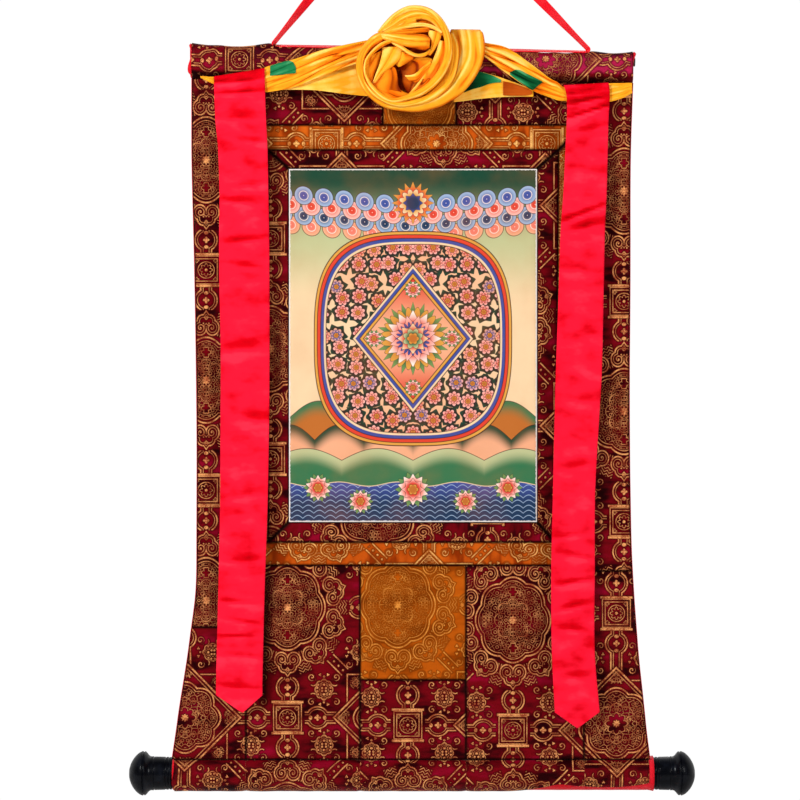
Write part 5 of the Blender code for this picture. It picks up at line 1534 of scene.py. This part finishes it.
def picture(tree, x, y):
    """The panel's design, from its sky down to its water."""
    side, from_middle = abs(x), abs(y - MIDDLE_DROP)
    sky = tint(ramp(y, -196.0, -120.0), DEEP_GREEN, PALE_GREEN)
    sky = tint(ramp(y, -130.0, -40.0), sky, CREAM)
    banks = ((ROSE, PEACH), (NIGHT, PALE_BLUE), (CORAL, PINK), (BLUE, PALE_BLUE))
    for step, (near, far) in enumerate(banks):
        level = -128.0 - 12.0 * step - 0.1 * side
        sky = cloud_bank(sky, x + 9.0 * (step % 2), y, level, 24.0, 10.5, near, far)
    painted = blossom(sky, x, y + 168.0, 25.0, SMALL_JEWEL)
    for level, height, length, near, far in (
        (88.0, 22.0, 74.0, AMBER, GREEN), (112.0, 18.0, 58.0, PEACH, DEEP_GREEN),
        (136.0, 14.0, 84.0, GREEN, PALE_GREEN),
    ):
        painted = hill(painted, x, y, level, height, length, near, far)
    frame_reach = math_node("POWER", side * (1.0 / FRAME_WIDE), 3.0)
    frame_reach = frame_reach + math_node("POWER", from_middle * (1.0 / FRAME_TALL), 3.0)
    beyond = (math_node("POWER", frame_reach, 1.0 / 3.0) - 1.0) * FRAME_WIDE
    painted, inside = banded(painted, beyond, RIM)
    field = flower_field(tree, tint(ramp(from_middle, 0.0, 130.0), CREAM, PEACH), side, y)
    painted = lay(painted, inside, field)
    lozenge = side * (1.0 / LOZENGE_WIDE) + from_middle * (1.0 / LOZENGE_TALL) - 1.0
    painted, inside = banded(painted, lozenge * 55.0, LOZENGE_RIM)
    painted = lay(painted, inside, tint(ramp(from_middle, 10.0, 74.0), PEACH, CORAL))
    for at_side, at_middle in ((0.0, 58.0), (46.0, 0.0)):
        painted = blossom(painted, side - at_side, from_middle - at_middle, 10.5, WATER_LILY)
    painted = blossom(painted, x, y - MIDDLE_DROP, 43.0, MANDALA)
    scales = y + 3.6 * abs(math_node("SINE", x * (math.pi / 13.0)))
    water = lay(tint(ramp(y, 158.0, 190.0), BLUE, NIGHT), line(fold(scales, 6.0), 0.4), PALE_BLUE)
    shore = 164.0 + 2.5 * math_node("SINE", x * 0.09) - y
    painted = lay(lay(painted, shore - 0.9, CREAM), shore, water)
    for at_side, at, size in ((0.0, 170.0, 21.0), (62.0, 184.0, 15.0), (112.0, 168.0, 17.0)):
        painted = blossom(painted, side - at_side, y - at, size, WATER_LILY)
    return painted


def painted_cotton(tree):
    """Painted cotton: the design over a fine plain weave, with bare threads along its cut edges."""
    across, along, _, place = cloth_place(tree)
    age = ramp(clouds(tree, place, 55.0, 4.0), 0.35, 0.8)
    painted = tint(age * 0.18, picture(tree, across, along), AMBER)
    frayed = clouds(tree, place, 2.4, 3.0, (1.0, 1.0, 0.0))
    from_edge = least(PICTURE_WIDE - abs(across), PICTURE_TALL - abs(along))
    weave = fold(across, 0.7) + fold(along, 0.7) + clouds(tree, place, 8.0, 3.0) * 1.2
    return {
        "Base Color": lay(painted, from_edge - 0.4 - frayed * 2.2, CANVAS),
        "Roughness": 0.62 + age * 0.1,
        "Normal": bump(tree, weave, 0.3, 0.35),
        "Specular IOR Level": 0.12,
    }


def wood(tree):
    grain = clouds(tree, coordinates(tree, "Object"), 0.004, 4.0, (0.05, 1.0, 1.0))
    return {
        "Base Color": tint(ramp(grain, 0.3, 0.7), (0.02, 0.014, 0.01), (0.07, 0.045, 0.03)),
        "Roughness": 0.5 + grain * 0.2,
        "Normal": bump(tree, grain, 0.2, 0.5),
        "Specular IOR Level": 0.35,
    }


def lacquer(tree):
    """Black lacquer over turned wood: faint turning marks and a soft wear of its gloss."""
    space = coordinates(tree, "Object")
    marks, worn = clouds(tree, space, 0.0011, 3.0, (1.0, 0.04, 0.04)), clouds(tree, space, 0.012, 3.0)
    return {
        "Base Color": tint(ramp(worn, 0.4, 0.8), (0.0006, 0.0008, 0.002), (0.004, 0.005, 0.009)),
        "Roughness": 0.30 + worn * 0.2,
        "Normal": bump(tree, marks, 0.15, 0.35),
        "Specular IOR Level": 0.04,
        "Coat Weight": 0.12,
        "Coat Roughness": 0.14,
    }


def floor_paint(tree):
    drift = clouds(tree, coordinates(tree, "Object"), 0.4, 3.0)
    return {"Base Color": tint(drift, (0.74, 0.74, 0.73), (0.80, 0.80, 0.79)), "Roughness": 0.8}


OTHER_FINISHES = {
    "painted_cotton": painted_cotton, "rod_wood": wood, "knob_lacquer": lacquer, "FloorPaint": floor_paint,
}


def finish(name):
    """The material of this name, made once: a function gives what feeds each of its shader's inputs."""
    made = bpy.data.materials.get(f"{name}_finish")
    if made:
        return made
    made = bpy.data.materials.new(f"{name}_finish")
    made.use_nodes = True
    tree = made.node_tree
    if name in BROCADES:
        given = brocade(tree, *BROCADES[name])
    elif name in SATINS:
        given = satin(tree, *SATINS[name])
    else:
        given = OTHER_FINISHES[name](tree)
    for label, value in given.items():
        feed(tree, tree.nodes["Principled BSDF"].inputs[label], value)
    return made


def finish_kept_nodes():
    """The rod and the core keep their solids' shape and take the wood."""
    for name in ("top_rod", "roller_core"):
        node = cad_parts[name]
        node.data.materials.clear()
        node.data.materials.append(finish("rod_wood"))


# Camera, lights and floor

SENSOR, SEES_TO = 36.0, 50.0
FLOOR_BELOW, FLOOR_BEHIND, FLOOR_HALF = 250.0, 1400.0, 4000.0
SURROUND_BEHIND, SURROUND_FRONT = 1.02, 0.14
# Lights: place and size in metres, power in watts
LIGHTS = {
    "KeyLight": ((-2.0, -2.2, 0.8), 0.9, 92.0),
    "FillLight": ((2.4, -2.2, 0.2), 1.2, 52.0),
    "BackLight": ((0.4, 2.4, 0.6), 1.6, 10.0),
}
LIGHTS_AIM = Vector((0.0, 0.0, -0.6))


def build_camera():
    """Straight in front of the hanging, which fills the photograph's frame."""
    camera = bpy.data.cameras.new("Camera")
    camera.sensor_width = SENSOR
    camera.lens = SENSOR * CAMERA_AWAY / IMAGE_WIDTH
    camera.clip_end = SEES_TO
    holder = new_object("Camera", camera)
    holder.location = point(IMAGE_MIDDLE_X, -CAMERA_AWAY, IMAGE_MIDDLE_DROP)
    holder.rotation_euler = (math.radians(90), 0.0, 0.0)
    bpy.context.scene.camera = holder


def build_studio():
    """Soft lights, two in front and a faint one behind, a surround that is palest behind the hanging, and a
    pale floor well below the roller."""
    for name, (place, size, power) in LIGHTS.items():
        light = bpy.data.lights.new(name, "AREA")
        light.shape, light.size, light.energy = "DISK", size, power
        holder = new_object(name, light)
        holder.location = place
        holder.rotation_euler = (LIGHTS_AIM - Vector(place)).to_track_quat("-Z", "Y").to_euler()
    world = bpy.data.worlds.new("Surround")
    world.use_nodes = True
    tree = world.node_tree
    _, depth_way, _ = parts(tree, coordinates(tree, "Generated"))
    strength = SURROUND_FRONT + ramp(depth_way, -0.1, 0.6) * (SURROUND_BEHIND - SURROUND_FRONT)
    backdrop = tree.nodes["Background"]
    feed(tree, backdrop.inputs["Color"], (1.0, 1.0, 1.0))
    feed(tree, backdrop.inputs["Strength"], strength)
    bpy.context.scene.world = world
    bpy.context.scene.view_settings.view_transform = "Standard"
    low_drop = -1000.0 * cad_box[0].z + FLOOR_BELOW
    corners = ((-1, FLOOR_BEHIND), (1, FLOOR_BEHIND), (1, -FLOOR_HALF), (-1, -FLOOR_HALF))
    places = [point(side * FLOOR_HALF, depth, low_drop) for side, depth in corners]
    mesh = new_mesh("Floor", places, [(3, 2, 1, 0)])
    mesh.materials.append(finish("FloorPaint"))
    new_object("Floor", mesh)


build_camera()
build_mount()
build_lining()
build_sleeve()
build_roller()
for streamer, its_shape in STREAMERS.items():
    build_streamer(streamer, *its_shape)
build_veil()
build_rosette()
build_tape()
finish_kept_nodes()
build_studio()
